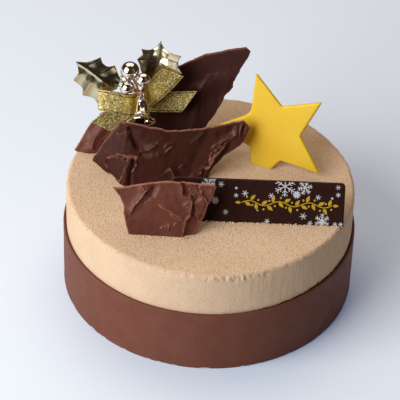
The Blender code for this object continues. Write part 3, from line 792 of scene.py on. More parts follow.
@dataclass(frozen=True)
class Feature:
    """One form of a relief: its height, its width and the path that it follows."""

    form: Form
    size: float
    width: float
    path: Path
    steep: float = 0.25
    wander: float = 0.3          # how far its torn edge strays

    def torn(self, points: Array) -> Array:
        """How much painted highlight its torn lip gets at each point, 0 to 1.

        Args:
            points: Rows of (u, v) on the sheet, in millimetres.

        Returns:
            One value for each point.
        """
        if self.form in (Form.RIDGE, Form.RUBBLE):
            return np.zeros(len(points))
        path = [*self.path, self.path[0]] if self.form is Form.FLAP else self.path
        gap = along_path(points, path)[0]
        broken = ease(0.5 + 1.2 * wave_noise(points, 1.8, 79))
        return min(1.0, abs(self.size)) * broken * np.exp(-(gap / 0.4) ** 2)

    def height(self, points: Array) -> Array:
        """Its height at each point, in millimetres.

        Args:
            points: Rows of (u, v) on the sheet, in millimetres.

        Returns:
            One height for each point.
        """
        if self.form is Form.RUBBLE:
            lumps = np.abs(wave_noise(points, self.width, 80)) + 0.4 * wave_noise(points, self.width / 2, 81)
            edge = np.abs(along_path(points, [*self.path, self.path[0]])[0])
            return self.size * lumps * np.where(inside(points, self.path), ease(edge), 0.0)
        if self.form is Form.FLAP:
            loop = [*self.path, self.path[0]]
            inset = np.abs(along_path(points, loop)[0]) + self.wander * wave_noise(points, 1.5, 78)
            return self.size * np.where(inside(points, self.path), ease(inset / self.width), 0.0)
        gap, share = along_path(points, self.path)
        if self.form is Form.RIDGE:
            return self.size * np.exp(-(gap / self.width) ** 2)
        gap = gap + self.wander * wave_noise(points, 1.4, 77)
        if self.form is Form.PLATE:
            return self.size * ease(0.5 + gap / self.width)
        taper = ease(5 * share) * ease(5 * (1 - share))
        return self.size * taper * np.exp(-np.abs(gap) / np.where(gap > 0, self.steep, self.width))


def shaped(forms: dict[Form, list[tuple[float, float, Path]]]) -> list[Feature]:
    """The features of a relief, from rows of size, width and path under each form."""
    return [Feature(form, *row) for form, rows in forms.items() for row in rows]


def flat(points: Array) -> Array:
    """No relief at all."""
    return np.zeros(len(points))


def upright(u: Array, v: Array, depth: Array) -> Array:
    """The surface of a flat upright piece: u along X, v up Z, and depth toward the viewer."""
    return np.stack((u, -depth, v), axis=1)


def centred(thickness: float) -> Surface:
    """The surface of a flat upright piece whose middle is at Y = 0."""
    return lambda u, v, depth: upright(u, v, depth + thickness / 2)


@dataclass
class Sheet:
    """A closed sheet: an outline and a relief over it, laid on a surface, with rounded edges."""

    outline: Path
    thickness: float
    grid: float
    surface: Surface = upright
    relief: Field = flat
    # Painted light and shade on the face, laid into the mark "rim".
    painted_light: Field = flat
    back_share: float = 1.0
    edge: float = 0.4            # radius of its edges
    ragged: float = 0.0          # how far its broken edge wanders
    side_rows: int = 2
    seed: int = 1
    rim_fade: float = 0.35       # how far in from its edge the mark "rim" fades

    def border(self) -> Array:
        """The outline, run anticlockwise, with its long sides divided and made ragged.

        Returns:
            Its points, in order.
        """
        corner = np.asarray(self.outline, float)
        before = np.roll(corner, 1, axis=0)
        if (before[:, 0] * corner[:, 1] - corner[:, 0] * before[:, 1]).sum() < 0:
            corner = corner[::-1]
        points = []
        for start, end in zip(np.roll(corner, 1, axis=0), corner):
            parts = max(1, math.ceil(np.hypot(*(end - start)) / self.grid))
            points += [start + (end - start) * k / parts for k in range(1, parts + 1)]
        line = np.array(points)
        if self.ragged:
            wander = wave_noise(line, 2.6, self.seed) + 0.5 * wave_noise(line, 0.9, self.seed + 1)
            line = line + self.outward(line) * (self.ragged * wander)[:, None]
        return line

    @staticmethod
    def outward(line: Array) -> Array:
        """The direction out of a closed anticlockwise line, at each of its points.

        Args:
            line: The line's points, in order.

        Returns:
            One direction for each point.
        """
        heading = np.roll(line, -1, axis=0) - np.roll(line, 1, axis=0)
        heading /= np.maximum(np.linalg.norm(heading, axis=1), 1e-9)[:, None]
        return np.stack((heading[:, 1], -heading[:, 0]), axis=1)

    def spread(self, line: Array) -> Array:
        """Points inside the border: three rows that follow it, and a staggered grid.

        Args:
            line: The border's points, in order.

        Returns:
            The points, one a row.
        """
        loop = np.concatenate((line, line[:1]))
        found = []
        for inset in (0.3 * self.edge, 0.75 * self.edge, 1.3 * self.edge):
            row = line - self.outward(line) * inset
            clear = inside(row, line) & (np.abs(along_path(row, loop)[0]) > 0.9 * inset)
            found.append(row[clear])
        low, high = line.min(0), line.max(0)
        rows = np.arange(low[1] + 0.5 * self.grid, high[1], 0.87 * self.grid)
        for k, v in enumerate(rows):
            u = np.arange(low[0] + (0.5 + 0.5 * (k % 2)) * self.grid, high[0], self.grid)
            found.append(np.stack((u, np.full(len(u), v)), axis=1))
        grid = np.concatenate(found[3:])
        far = np.abs(along_path(grid, loop)[0]) > 1.3 * self.edge + 0.5 * self.grid
        return np.concatenate(found[:3] + [grid[inside(grid, line) & far]])

    def add_to(self, bits: Bits) -> None:
        """Make the sheet and add it to a piece, with the mark "rim" near its edges and its face's painted
        light.

        Args:
            bits: The piece that it joins.
        """
        line = self.border()
        points = np.concatenate((line, self.spread(line)))
        edges = [(i, (i + 1) % len(line)) for i in range(len(line))]
        found = delaunay_2d_cdt([Vector(p) for p in points], edges, [], 1, 1e-7)
        spots = np.array([tuple(p) for p in found[0]])
        front = found[2]
        loop = np.concatenate((line, line[:1]))
        away = np.abs(along_path(spots, loop)[0])
        reach = np.minimum(away, self.edge)
        drop = self.edge - np.sqrt(self.edge ** 2 - (self.edge - reach) ** 2)
        rise = self.relief(spots)
        back = self.back_share * rise - self.thickness
        rim = np.exp(-away / self.rim_fade)
        layers = [self.surface(spots[:, 0], spots[:, 1], rise - drop),
                  self.surface(spots[:, 0], spots[:, 1], back + drop)]
        count = len(spots)
        sides = self.border_sides(front)
        ring = sorted({i for side in sides for i in side})
        number = {point: k for k, point in enumerate(ring)}
        out = self.ring_outward(spots, sides, ring)
        front_depth, back_depth = (rise - drop)[ring], (back + drop)[ring]
        for k in range(self.side_rows):
            share = (k + 1) / (self.side_rows + 1)
            wander = self.ragged * wave_noise(np.stack((spots[ring, 0], spots[ring, 1],
                                                        np.full(len(ring), 1.3 * k)), 1), 1.1, self.seed + 7)
            shifted = spots[ring] + out * (wander + 0.15 * self.edge)[:, None]
            depth = front_depth + (back_depth - front_depth) * share
            layers.append(self.surface(shifted[:, 0], shifted[:, 1], depth))
        faces = [tuple(t) for t in front] + [tuple(i + count for i in reversed(t)) for t in front]
        rows = [list(ring)] + [[2 * count + k * len(ring) + i for i in range(len(ring))]
                               for k in range(self.side_rows)] + [[i + count for i in ring]]
        for a, b in sides:
            for upper, lower in zip(rows[:-1], rows[1:]):
                faces.append((upper[number[b]], upper[number[a]], lower[number[a]], lower[number[b]]))
        # The front also carries the painted light and shade of its face.
        marks = np.concatenate([np.maximum(rim, self.painted_light(spots)), rim, np.ones(len(ring) * self.side_rows)])
        bits.add(np.concatenate(layers), faces, rim=marks)

    @staticmethod
    def border_sides(triangles: Sequence[Sequence[int]]) -> list[tuple[int, int]]:
        """The sides that only one triangle has.

        Args:
            triangles: Each triangle's three points, by number.

        Returns:
            The two points of each side, by number.
        """
        seen: dict[frozenset, Optional[tuple[int, int]]] = {}
        for t in triangles:
            for i in range(3):
                side = (t[i], t[(i + 1) % 3])
                key = frozenset(side)
                seen[key] = None if key in seen else side
        return [side for side in seen.values() if side is not None]

    @staticmethod
    def ring_outward(spots: Array, sides: Sequence[tuple[int, int]], ring: Sequence[int]) -> Array:
        """The direction out of the sheet at each point of its border.

        Args:
            spots: Every point of the sheet.
            sides: The border's sides.
            ring: The border's points, by number.

        Returns:
            One direction for each point of the border.
        """
        out = np.zeros_like(spots)
        for a, b in sides:
            heading = spots[b] - spots[a]
            normal = np.array((heading[1], -heading[0])) / max(np.hypot(*heading), 1e-9)
            out[a] += normal
            out[b] += normal
        chosen = out[ring]
        return chosen / np.maximum(np.linalg.norm(chosen, axis=1), 1e-9)[:, None]


@dataclass
class Mousse:
    """The mousse: a disc with a softly rounded rim, all in grains of sprayed velvet."""

    radius: float = 73.4
    rim: float = 2.0
    cells: int = 230             # squares across the top
    row: float = 0.6             # height of the rows on the wall
    pile: float = 0.045          # height of the grains' clusters
    grain: float = 1.3
    wall_pile: float = 0.5       # share of the pile that shows on the wall
    covered: float = 34.0        # height under which the band hides the wall
    # For each stroke: arc, where it starts and ends under the rim, lean and height.
    strokes: tuple[tuple[float, ...], ...] = (
        (0.8, 1.5, 2.9, -1.0, -0.45), (3.0, 0.6, 2.2, 0.3, 0.35), (4.9, 1.0, 3.0, 1.6, -0.5),
        (9.0, 1.0, 2.6, 0.1, -0.45), (12.2, 1.6, 3.4, 1.0, -0.5), (14.0, 0.5, 1.5, 0.2, -0.4),
        (14.2, 2.2, 3.8, -0.2, -0.45), (16.4, 1.2, 2.8, 0.3, -0.5), (17.6, 1.0, 2.6, 0.2, 0.35),
        (18.8, 0.8, 3.4, 0.8, -0.6), (22.6, 0.5, 2.2, -0.3, -0.55), (26.3, 0.4, 2.0, 0.1, -0.4),
        (29.4, 0.9, 3.8, 0.2, -0.4), (32.0, 0.3, 1.6, 0.0, -0.35), (39.8, 0.4, 2.0, 0.2, -0.35),
        (41.6, 0.3, 1.5, 0.0, -0.35),
    )
    rim_waves: float = 0.22      # how far the rim swells in and out
    rim_reach: float = 2.2       # how far down the swelling goes
    runs: float = 0.07           # how deep the spray runs down the wall at the right

    def top(self) -> tuple[Array, Faces, list[int]]:
        """The flat top: its points, its squares, and its border in order.

        Returns:
            The points, the squares, and the border's points by number.
        """
        n = self.cells
        a, b = np.meshgrid(np.linspace(-1, 1, n + 1), np.linspace(-1, 1, n + 1), indexing="ij")
        wide = np.abs(a) > np.abs(b)
        reach = np.where(wide, a, b)
        with np.errstate(divide="ignore", invalid="ignore"):
            angle = np.where(wide, np.pi / 4 * b / a, np.pi / 2 - np.pi / 4 * a / b)
        angle = np.nan_to_num(angle)
        level = self.radius - self.rim
        points = np.stack((reach * np.cos(angle) * level, reach * np.sin(angle) * level,
                           np.full(a.shape, CAKE_TOP)), axis=2).reshape(-1, 3)
        number = np.arange((n + 1) ** 2).reshape(n + 1, n + 1)
        faces = np.stack((number[:-1, :-1], number[1:, :-1], number[1:, 1:], number[:-1, 1:]), 2)
        edge = np.concatenate((number[:-1, 0], number[-1, :-1], number[:0:-1, -1], number[0, :0:-1]))
        return points, [tuple(f) for f in faces.reshape(-1, 4)], edge.tolist()

    def profile(self) -> list[tuple[float, float, float]]:
        """Rows down the rim and the wall: radius, height and the normal's slope in degrees.

        Returns:
            The rows, from the top down.
        """
        rows = []
        for k in range(1, 8):
            slope = 90 - 90 * k / 7
            rows.append((self.radius - self.rim + self.rim * math.cos(math.radians(slope)),
                         CAKE_TOP - self.rim + self.rim * math.sin(math.radians(slope)), slope))
        count = round((CAKE_TOP - self.rim - self.covered) / self.row)
        for k in range(1, count + 1):
            rows.append((self.radius, CAKE_TOP - self.rim - k * self.row, 0.0))
        rows += [(self.radius, 20.0, 0.0), (self.radius, 0.5, 0.0), (self.radius - 0.5, 0.0, 0.0)]
        return rows

    def ruffles(self, arc: Array, down: Array) -> Array:
        """Short upright strokes where the rim was touched, from arc and depth under the rim.

        Args:
            arc: How far round the rim.
            down: How far under it.

        Returns:
            How high each point stands.
        """
        total = np.zeros(len(arc))
        place = np.stack((arc, -down), axis=1)
        for at, high, low, lean, size in self.strokes:
            total += Feature(Form.RIDGE, size, 0.5, [(at, -high), (at + lean, -low)]).height(place)
        return total

    def build(self) -> None:
        """Make the mousse, lift its grains and colour it."""
        top, faces, edge = self.top()
        angle = np.arctan2(top[edge, 1], top[edge, 0])
        rows, normals = [top], [np.tile((0.0, 0.0, 1.0), (len(top), 1))]
        for radius, height, slope in self.profile():
            tilt = math.radians(slope)
            ring = np.stack((radius * np.cos(angle), radius * np.sin(angle),
                             np.full(len(angle), height)), axis=1)
            rows.append(ring)
            normals.append(np.stack((np.cos(angle) * math.cos(tilt), np.sin(angle) * math.cos(tilt),
                                     np.full(len(angle), math.sin(tilt))), axis=1))
        upper = edge
        count = len(edge)
        for k in range(len(rows) - 1):
            lower = [len(top) + k * count + i for i in range(count)]
            faces += [(upper[i], lower[i], lower[(i + 1) % count], upper[(i + 1) % count])
                      for i in range(count)]
            upper = lower
        points, outward = np.concatenate(rows), np.concatenate(normals)
        lift, deep = self.velvet(points, outward)
        points = np.concatenate((points + outward * lift[:, None], [(0.0, 0.0, 0.0)]))
        faces += [(upper[(i + 1) % count], upper[i], len(points) - 1) for i in range(count)]
        level = self.wall_pile + (1 - self.wall_pile) * np.append(outward[:, 2], 0.0)
        bits = Bits()
        bits.add(points, faces, level=level, deep=np.append(deep, 0.0))
        bits.build("velvet_mousse", VELVET, ["mousse_body"], angle=180.0)

    def velvet(self, points: Array, outward: Array) -> tuple[Array, Array]:
        """How far each point is lifted, and the painted shade that it gets along the band's top.

        Args:
            points: The skin's points.
            outward: The direction out at each.

        Returns:
            The lift, and the painted shade from 0 to 1.
        """
        on_top = outward[:, 2]
        share = self.wall_pile + (1 - self.wall_pile) * on_top
        lift = self.pile * share * wave_noise(points, self.grain, 20)
        lift += 0.05 * wave_noise(points, 9.0, 21) + 0.04 * wave_noise(points, 2.6, 22)
        arc = np.arctan2(points[:, 0], -points[:, 1]) * self.radius
        down = CAKE_TOP - points[:, 2]
        near_rim = np.exp(-(down / self.rim_reach) ** 2) * (1 - on_top ** 4)
        lift += self.rim_waves * near_rim * wave_noise(np.stack((arc, 0 * arc), 1), 2.2, 31)
        streaks = wave_noise(np.stack((arc / 1.1, down / 9.0), 1), 1.0, 41)
        lift += self.runs * (1 - on_top) * ease((arc + 20) / 70) * streaks
        lift += (1 - on_top) * self.ruffles(arc, down) * (down < 8)
        covered = points[:, 2] < self.covered
        # Painted shade in a jagged strip over the band's top, wider toward the right.
        jagged = wave_noise(np.stack((arc, 0 * arc), 1), 0.9, 43)
        right = ease((arc - 10) / 50)
        hem = BAND_HEIGHT - 0.2 + 1.1 * right + (0.2 + 0.4 * right) * jagged
        return np.where(covered, 0.0, lift), ease((hem - points[:, 2]) / 0.6)


@dataclass
class Crumbs:
    """Velvet knocked loose where the plaque and the front shard were pushed in."""

    small: float = 0.15
    large: float = 0.34

    def build(self) -> None:
        """Scatter them along the base lines of the plaque and the front shard."""
        draw = np.random.default_rng(7)
        lines = (((-2.0, -31.9), (66.8, -31.9), 260), ((-38.8, -45.2), (-12.8, -46.1), 130),
                 ((-12.8, -46.1), (-7.0, -43.4), 30))
        work = bmesh.new()
        bmesh.ops.create_icosphere(work, subdivisions=2, radius=1.0)
        ball = np.array([tuple(v.co) for v in work.verts])
        faces = [tuple(v.index for v in f.verts) for f in work.faces]
        work.free()
        bits = Bits()
        for (x0, y0), (x1, y1), count in lines:
            for k in range(count):
                share = draw.uniform()
                size = draw.uniform(self.small, self.large) * draw.choice([1.0, 1.0, 1.35])
                x = x0 + (x1 - x0) * share
                y = y0 + (y1 - y0) * share - abs(draw.normal(0, 0.25))
                z = CAKE_TOP + abs(draw.normal(0, 0.28))
                lumps = 1 + 0.25 * wave_noise(ball + k, 0.9, k)
                stretch = draw.uniform(0.75, 1.25, 3)
                bits.add(ball * lumps[:, None] * stretch * size + (x, y, z), faces,
                         level=0.0, deep=0.0)
        bits.build("velvet_crumbs", VELVET, merge=False)


@dataclass
class Band:
    """The strip of dark chocolate, cast on a sheet and wrapped round the mousse."""

    outside: float = 75.0
    thick: float = 1.3
    round_edge: float = 0.35
    steps: int = 420
    nicks: int = 46

    def profile(self) -> list[tuple[float, float, float]]:
        """Radius, height and how much of the mark "rim" a row gets, once round the section.

        Returns:
            The rows, in order.
        """
        inner = self.outside - self.thick
        r, top = self.round_edge, BAND_HEIGHT
        rows = []
        for slope in (0, 30, 60, 90):
            rows.append((self.outside - r + r * math.cos(math.radians(slope)),
                         top - r + r * math.sin(math.radians(slope)), 1.0))
        for slope in (90, 135, 180):
            rows.append((inner + r + r * math.cos(math.radians(slope)),
                         top - r + r * math.sin(math.radians(slope)), 1.0))
        rows += [(inner, top - 4, 0.2), (inner, 4.0, 0.0), (inner, 0.0, 0.3), (self.outside - 0.3, 0.0, 0.6),
                 (self.outside, 0.3, 0.5)]
        rows += [(self.outside, z, 0.0) for z in np.linspace(1.0, top - r - 0.4, 26)]
        return rows

    def build(self) -> None:
        """Spin the section, let it wave a little, and nick its lower edge."""
        rows = self.profile()
        points, faces = turned([(r, z) for r, z, rim in rows], self.steps, closed=True)
        angle = np.arctan2(points[:, 1], points[:, 0])
        radial = np.stack((np.cos(angle), np.sin(angle), 0 * angle), 1)
        round_it = radial * self.outside
        wave = 0.10 * wave_noise(points, 22.0, 51) + 0.035 * wave_noise(points, 6.0, 52)
        top_share = ease((points[:, 2] - BAND_HEIGHT + 3) / 3)
        low_share = ease(1 - points[:, 2] / 1.6)
        points = points + radial * (wave * (points[:, 2] > 0.5))[:, None]
        points[:, 2] += top_share * (0.16 * wave_noise(round_it, 16.0, 53) - 0.16)
        points[:, 2] += low_share * self.nick(angle)
        rim = np.repeat([rim for r, z, rim in rows], self.steps)
        bits = Bits()
        bits.add(points, faces, rim=rim)
        bits.build("band_of_chocolate", BAND, ["chocolate_band"], angle=50.0)

    def nick(self, angle: Array) -> Array:
        """How far the lower edge is chipped up at each angle.

        Args:
            angle: The angles, in radians.

        Returns:
            One height for each angle.
        """
        draw = np.random.default_rng(23)
        total = np.zeros(len(angle))
        for _ in range(self.nicks):
            at = draw.uniform(-math.pi, math.pi)
            wide = draw.uniform(0.6, 1.6) / self.outside
            off = np.abs(np.angle(np.exp(1j * (angle - at))))
            total = np.maximum(total, draw.uniform(0.2, 0.75) * ease(1.6 - off / wide))
        return total


@dataclass
class Star:
    """The star: a flat biscuit of moulded chocolate, one leg in the mousse."""

    radius: float = 31.9
    waist: float = 0.467
    thick: float = 2.5
    edge: float = 0.8
    foot: tuple[float, float, float] = (25.7, 16.0, CAKE_TOP)
    centre: tuple[float, float] = (3.0, 18.6)
    spin: float = 27.2
    turn: float = -22.2
    lean: float = 20.0

    def outline(self) -> Corners:
        """Its outline, with the softest corner at the upper left.

        Returns:
            Its points, in order.
        """
        corners, radii = [], []
        for i in range(5):
            tip = math.radians(90 + self.spin + 72 * i)
            notch = tip + math.radians(36)
            corners.append((self.radius * math.cos(tip), self.radius * math.sin(tip)))
            corners.append((self.waist * self.radius * math.cos(notch),
                            self.waist * self.radius * math.sin(notch)))
            radii += [1.6, 4.0 if i == 0 else 1.2]
        return [(x + self.centre[0], y + self.centre[1]) for x, y in rounded_outline(corners, radii)]

    def waves(self, points: Array) -> Array:
        """The unevenness that the mould gave it."""
        return 0.05 * wave_noise(points, 7.0, 61) + 0.015 * wave_noise(points, 1.5, 62)

    def build(self) -> None:
        """Make the star and stand it in its place."""
        bits = Bits()
        Sheet(self.outline(), self.thick, 1.0, centred(self.thick), self.waves, back_share=0.0,
              edge=self.edge).add_to(bits)
        bits.build("yellow_star", YELLOW, ["star"], stand(self.foot, self.turn, self.lean), 50.0)


class Flake(Enum):
    """The snow figures of the print."""

    FERN = "fern"            # six arms with side branches
    SIX = "six"              # six bare arms
    ROSETTE = "rosette"      # a full six-lobed figure
    DOT = "dot"


@dataclass(frozen=True)
class Snow:
    """One figure of the print: its kind, its centre and size on the plaque, and its look."""

    kind: Flake
    u: float
    v: float
    size: float
    spin: float = 0.0
    faint: float = 0.0

    def bars(self) -> list[tuple[tuple[float, float], tuple[float, float], float]]:
        """Its strokes: start, end and width.

        Returns:
            The strokes, one a row.
        """
        radius = self.size / 2
        strokes = []
        for i in range(6):
            angle = math.radians(self.spin + 60 * i)
            if self.kind is Flake.DOT:
                break
            reach = radius * (0.8 if self.kind is Flake.ROSETTE else 1.0)
            width = {Flake.FERN: 0.5, Flake.SIX: 0.42, Flake.ROSETTE: 0.42 * radius}[self.kind]
            strokes.append(((0.0, 0.0), self.polar(angle, reach), width))
            if self.kind is Flake.FERN:
                for share, length in ((0.42, 0.30), (0.70, 0.34)):
                    root = self.polar(angle, radius * share)
                    for side in (-1, 1):
                        tip = self.polar(angle + side * math.radians(52), radius * length)
                        strokes.append((root, (root[0] + tip[0], root[1] + tip[1]), 0.42))
            if self.kind is Flake.ROSETTE:
                for side in (-1, 1):
                    strokes.append((self.polar(angle, radius * 0.5),
                                    self.polar(angle + side * 0.32, radius), 0.32))
        return strokes

    @staticmethod
    def polar(angle: float, reach: float) -> tuple[float, float]:
        """A point at an angle and a distance."""
        return (reach * math.cos(angle), reach * math.sin(angle))


@dataclass
class Plaque:
    """The dark plaque, with its printed snow and a plain gold garland."""

    width: float = 86.0
    height: float = 23.5
    press: float = 2.0
    thick: float = 2.2
    corner: float = 2.5
    edge: float = 0.5
    right_end: float = 66.9
    foot_y: float = -30.6
    lean: float = 27.0
    lift: float = 0.06           # the print's height over the face
    left_of_print: float = -25.7     # the print's own u = 0, from the plaque's middle
    sprig: tuple[float, float] = (17.6, 62.4)    # the garland's two ends
    sprig_height: float = 9.9
    sprig_sway: float = 1.15
    sprig_wave: float = 14.9
    margin: float = 0.35         # how far inside the plaque's edges the print stops
    layer: float = 0.0007        # how much higher each shape lies, so that no two share a plane
    # For each kind: across, up, size, and where they aren't 0 its spin and how faint it is.
    snow: tuple[tuple[Flake, tuple[tuple[float, ...], ...]], ...] = (
        (Flake.FERN, ((38.8, 18.9, 10.6, 30), (48.7, 18.6, 7.2, 12), (57.9, 2.1, 7.4, 30),
                     (0.6, 18.7, 6.8, 0))),
        (Flake.ROSETTE, ((44.7, 14.9, 3.9, 0), (4.4, 10.4, 3.7, 0, 0.35), (57.9, 1.6, 3.2, 0))),
        (Flake.SIX, ((7.1, 18.7, 2.9, 0, 0.1), (19.1, 14.6, 3.1, 10), (14.7, 13.4, 2.1, 20),
                    (32.1, 13.9, 2.8, 0, 0.3), (55.4, 13.9, 2.7, 15, 0.2), (65.3, 15.5, 2.3, 30),
                    (65.1, 19.3, 2.4, 0, 0.6), (48.4, 4.1, 3.4, 10), (52.0, 0.7, 2.4, 0, 0.2),
                    (64.4, 0.6, 2.1, 20), (67.2, 0.7, 2.0, 0), (30.6, 0.8, 2.6, 5, 0.1),
                    (3.3, 20.9, 2.2, 0, 0.2), (9.8, 4.8, 2.7, 0, 0.55))),
        (Flake.DOT, ((14.6, 17.1, 1.3), (62.4, 13.7, 1.1), (25.6, 6.2, 0.8, 0, 0.4))),
    )

    def place(self) -> Matrix:
        """Where the plaque stands."""
        return stand((self.right_end - self.width / 2, self.foot_y, CAKE_TOP), 0.0, self.lean)

    def waves(self, points: Array) -> Array:
        """How far its face strays from a true plane."""
        return 0.03 * wave_noise(points, 12.0, 71)

    def build(self) -> None:
        """Make the plaque, the snow and the sprig."""
        half, top = self.width / 2, self.height - self.press
        outline = rounded_outline([(-half, -self.press), (half, -self.press), (half, top), (-half, top)],
                                  [self.corner] * 4)
        bits = Bits()
        Sheet(outline, self.thick, 1.6, centred(self.thick), self.waves, back_share=0.0,
              edge=self.edge).add_to(bits)
        bits.build("dark_plaque", TABLET, ["plaque"], self.place(), 50.0)
        self.print_snow()
        self.print_sprig()

    def stamp(self, bits: Bits, shape: Sequence[tuple[float, float]], faint: float = 0.0) -> None:
        """Print one flat shape, cut off at the plaque's edges.

        Args:
            bits: The print that takes the shape.
            shape: Its outline, from the plaque's middle and the mousse's surface.
            faint: How much of the ground shows through.
        """
        limits = ((0, -1, self.width / 2 - self.margin),
                  (1, -1, self.height - self.press - self.margin),
                  (1, 1, self.press * 0.2))
        kept = list(shape)
        for axis, sign, limit in limits:
            cut = []
            for i, here in enumerate(kept):
                last = kept[i - 1]
                a, b = limit + sign * last[axis], limit + sign * here[axis]
                if a * b < 0:
                    t = a / (a - b)
                    cut.append((last[0] + (here[0] - last[0]) * t, last[1] + (here[1] - last[1]) * t))
                if b >= 0:
                    cut.append(here)
            kept = cut
        if len(kept) < 3:
            return
        over = self.thick / 2 + self.lift + self.layer * (bits.count % 60)
        count = len(kept)
        points = [(x, -over, z) for x, z in kept] + [(x, -over + self.lift, z) for x, z in kept]
        faces = [tuple(range(count)), tuple(reversed(range(count, 2 * count)))]
        faces += [(i, i + count, (i + 1) % count + count, (i + 1) % count) for i in range(count)]
        bits.add(np.array(points), faces, faint=faint)

    @staticmethod
    def bar(start: Sequence[float], end: Sequence[float], width: float) -> Corners:
        """A stroke with a blunt pointed end.

        Args:
            start: Its first end.
            end: Its last end.
            width: How wide it is.

        Returns:
            Its points, in order.
        """
        along = Vector(end) - Vector(start)
        side = Vector((-along.y, along.x)).normalized() * width / 2
        ends = [Vector(start) + side, Vector(start) - side, Vector(end) - side * 0.8,
                Vector(end) + along.normalized() * width * 0.3, Vector(end) + side * 0.8]
        return [tuple(p) for p in ends]

    @staticmethod
    def disc(centre: Sequence[float], radius: float, sides: int = 12) -> Corners:
        """A round dot."""
        return [(centre[0] + radius * math.cos(2 * math.pi * k / sides),
                 centre[1] + radius * math.sin(2 * math.pi * k / sides)) for k in range(sides)]

    def print_snow(self) -> None:
        """The white figures."""
        bits = Bits()
        for figure in (Snow(kind, *row) for kind, rows in self.snow for row in rows):
            middle = Vector((figure.u + self.left_of_print, figure.v))
            if figure.kind is Flake.DOT:
                self.stamp(bits, self.disc(middle, figure.size / 2), figure.faint)
            if figure.kind is Flake.ROSETTE:
                self.stamp(bits, self.disc(middle, figure.size * 0.34), figure.faint)
            for start, end, width in figure.bars():
                self.stamp(bits, self.bar(middle + Vector(start), middle + Vector(end), width),
                           figure.faint)
        bits.build("printed_snow", WHITE_PRINT, merge=False, angle=20.0)
        bpy.data.objects["printed_snow"].data.transform(self.in_metres())

    def in_metres(self) -> Matrix:
        """The plaque's place, for a mesh that is in metres already.

        Returns:
            The place, with the scale taken out.
        """
        place = self.place()
        place.translation *= MM
        return place

    def stem_at(self, u: float) -> tuple[float, float]:
        """A point of the garland's waved stem, at a place along the print."""
        turn = 2 * math.pi * (u - self.sprig[0]) / self.sprig_wave
        return (u + self.left_of_print, self.sprig_height + self.sprig_sway * math.sin(turn))

    def print_sprig(self) -> None:
        """The gold garland: a waved stem with leaves on both sides and small berries."""
        bits = Bits()
        first, last = self.sprig
        stations = np.linspace(first, last, 61)
        for a, b in zip(stations[:-1], stations[1:]):
            self.stamp(bits, self.bar(self.stem_at(a), self.stem_at(b), 0.5))
        for k, u in enumerate(np.arange(first + 1.2, last - 1.0, 2.8)):
            side = 1 if k % 2 else -1
            slope = math.atan2(self.stem_at(u + 0.1)[1] - self.stem_at(u - 0.1)[1], 0.2)
            angle = slope + side * math.radians(52)
            self.stamp(bits, self.leaf(self.stem_at(u), angle, 4.1, 1.75))
            across, up = self.stem_at(u + 1.35)
            self.stamp(bits, self.disc((across, up - side * 1.9), 0.52))
        for end, angle in ((first, math.pi), (last, 0.0)):
            self.stamp(bits, self.leaf(self.stem_at(end), angle, 3.4, 1.5))
        bits.build("printed_sprig", GOLD_PRINT, merge=False, angle=20.0)
        bpy.data.objects["printed_sprig"].data.transform(self.in_metres())

    @staticmethod
    def leaf(root: Sequence[float], angle: float, length: float, width: float) -> Corners:
        """A pointed leaf's outline.

        Args:
            root: Where it grows from.
            angle: Where it points, in radians.
            length: How long it is.
            width: How wide it is.

        Returns:
            Its points, in order.
        """
        along = Vector((math.cos(angle), math.sin(angle)))
        side = Vector((-along.y, along.x))
        points = []
        for sign in (1, -1):
            for k in range(7) if sign == 1 else range(6, 0, -1):
                t = k / 6
                swell = math.sin(math.pi * t ** 0.8) * width / 2
                points.append(tuple(Vector(root) + along * length * (0.12 + 0.88 * t) + side * sign * swell))
        return points


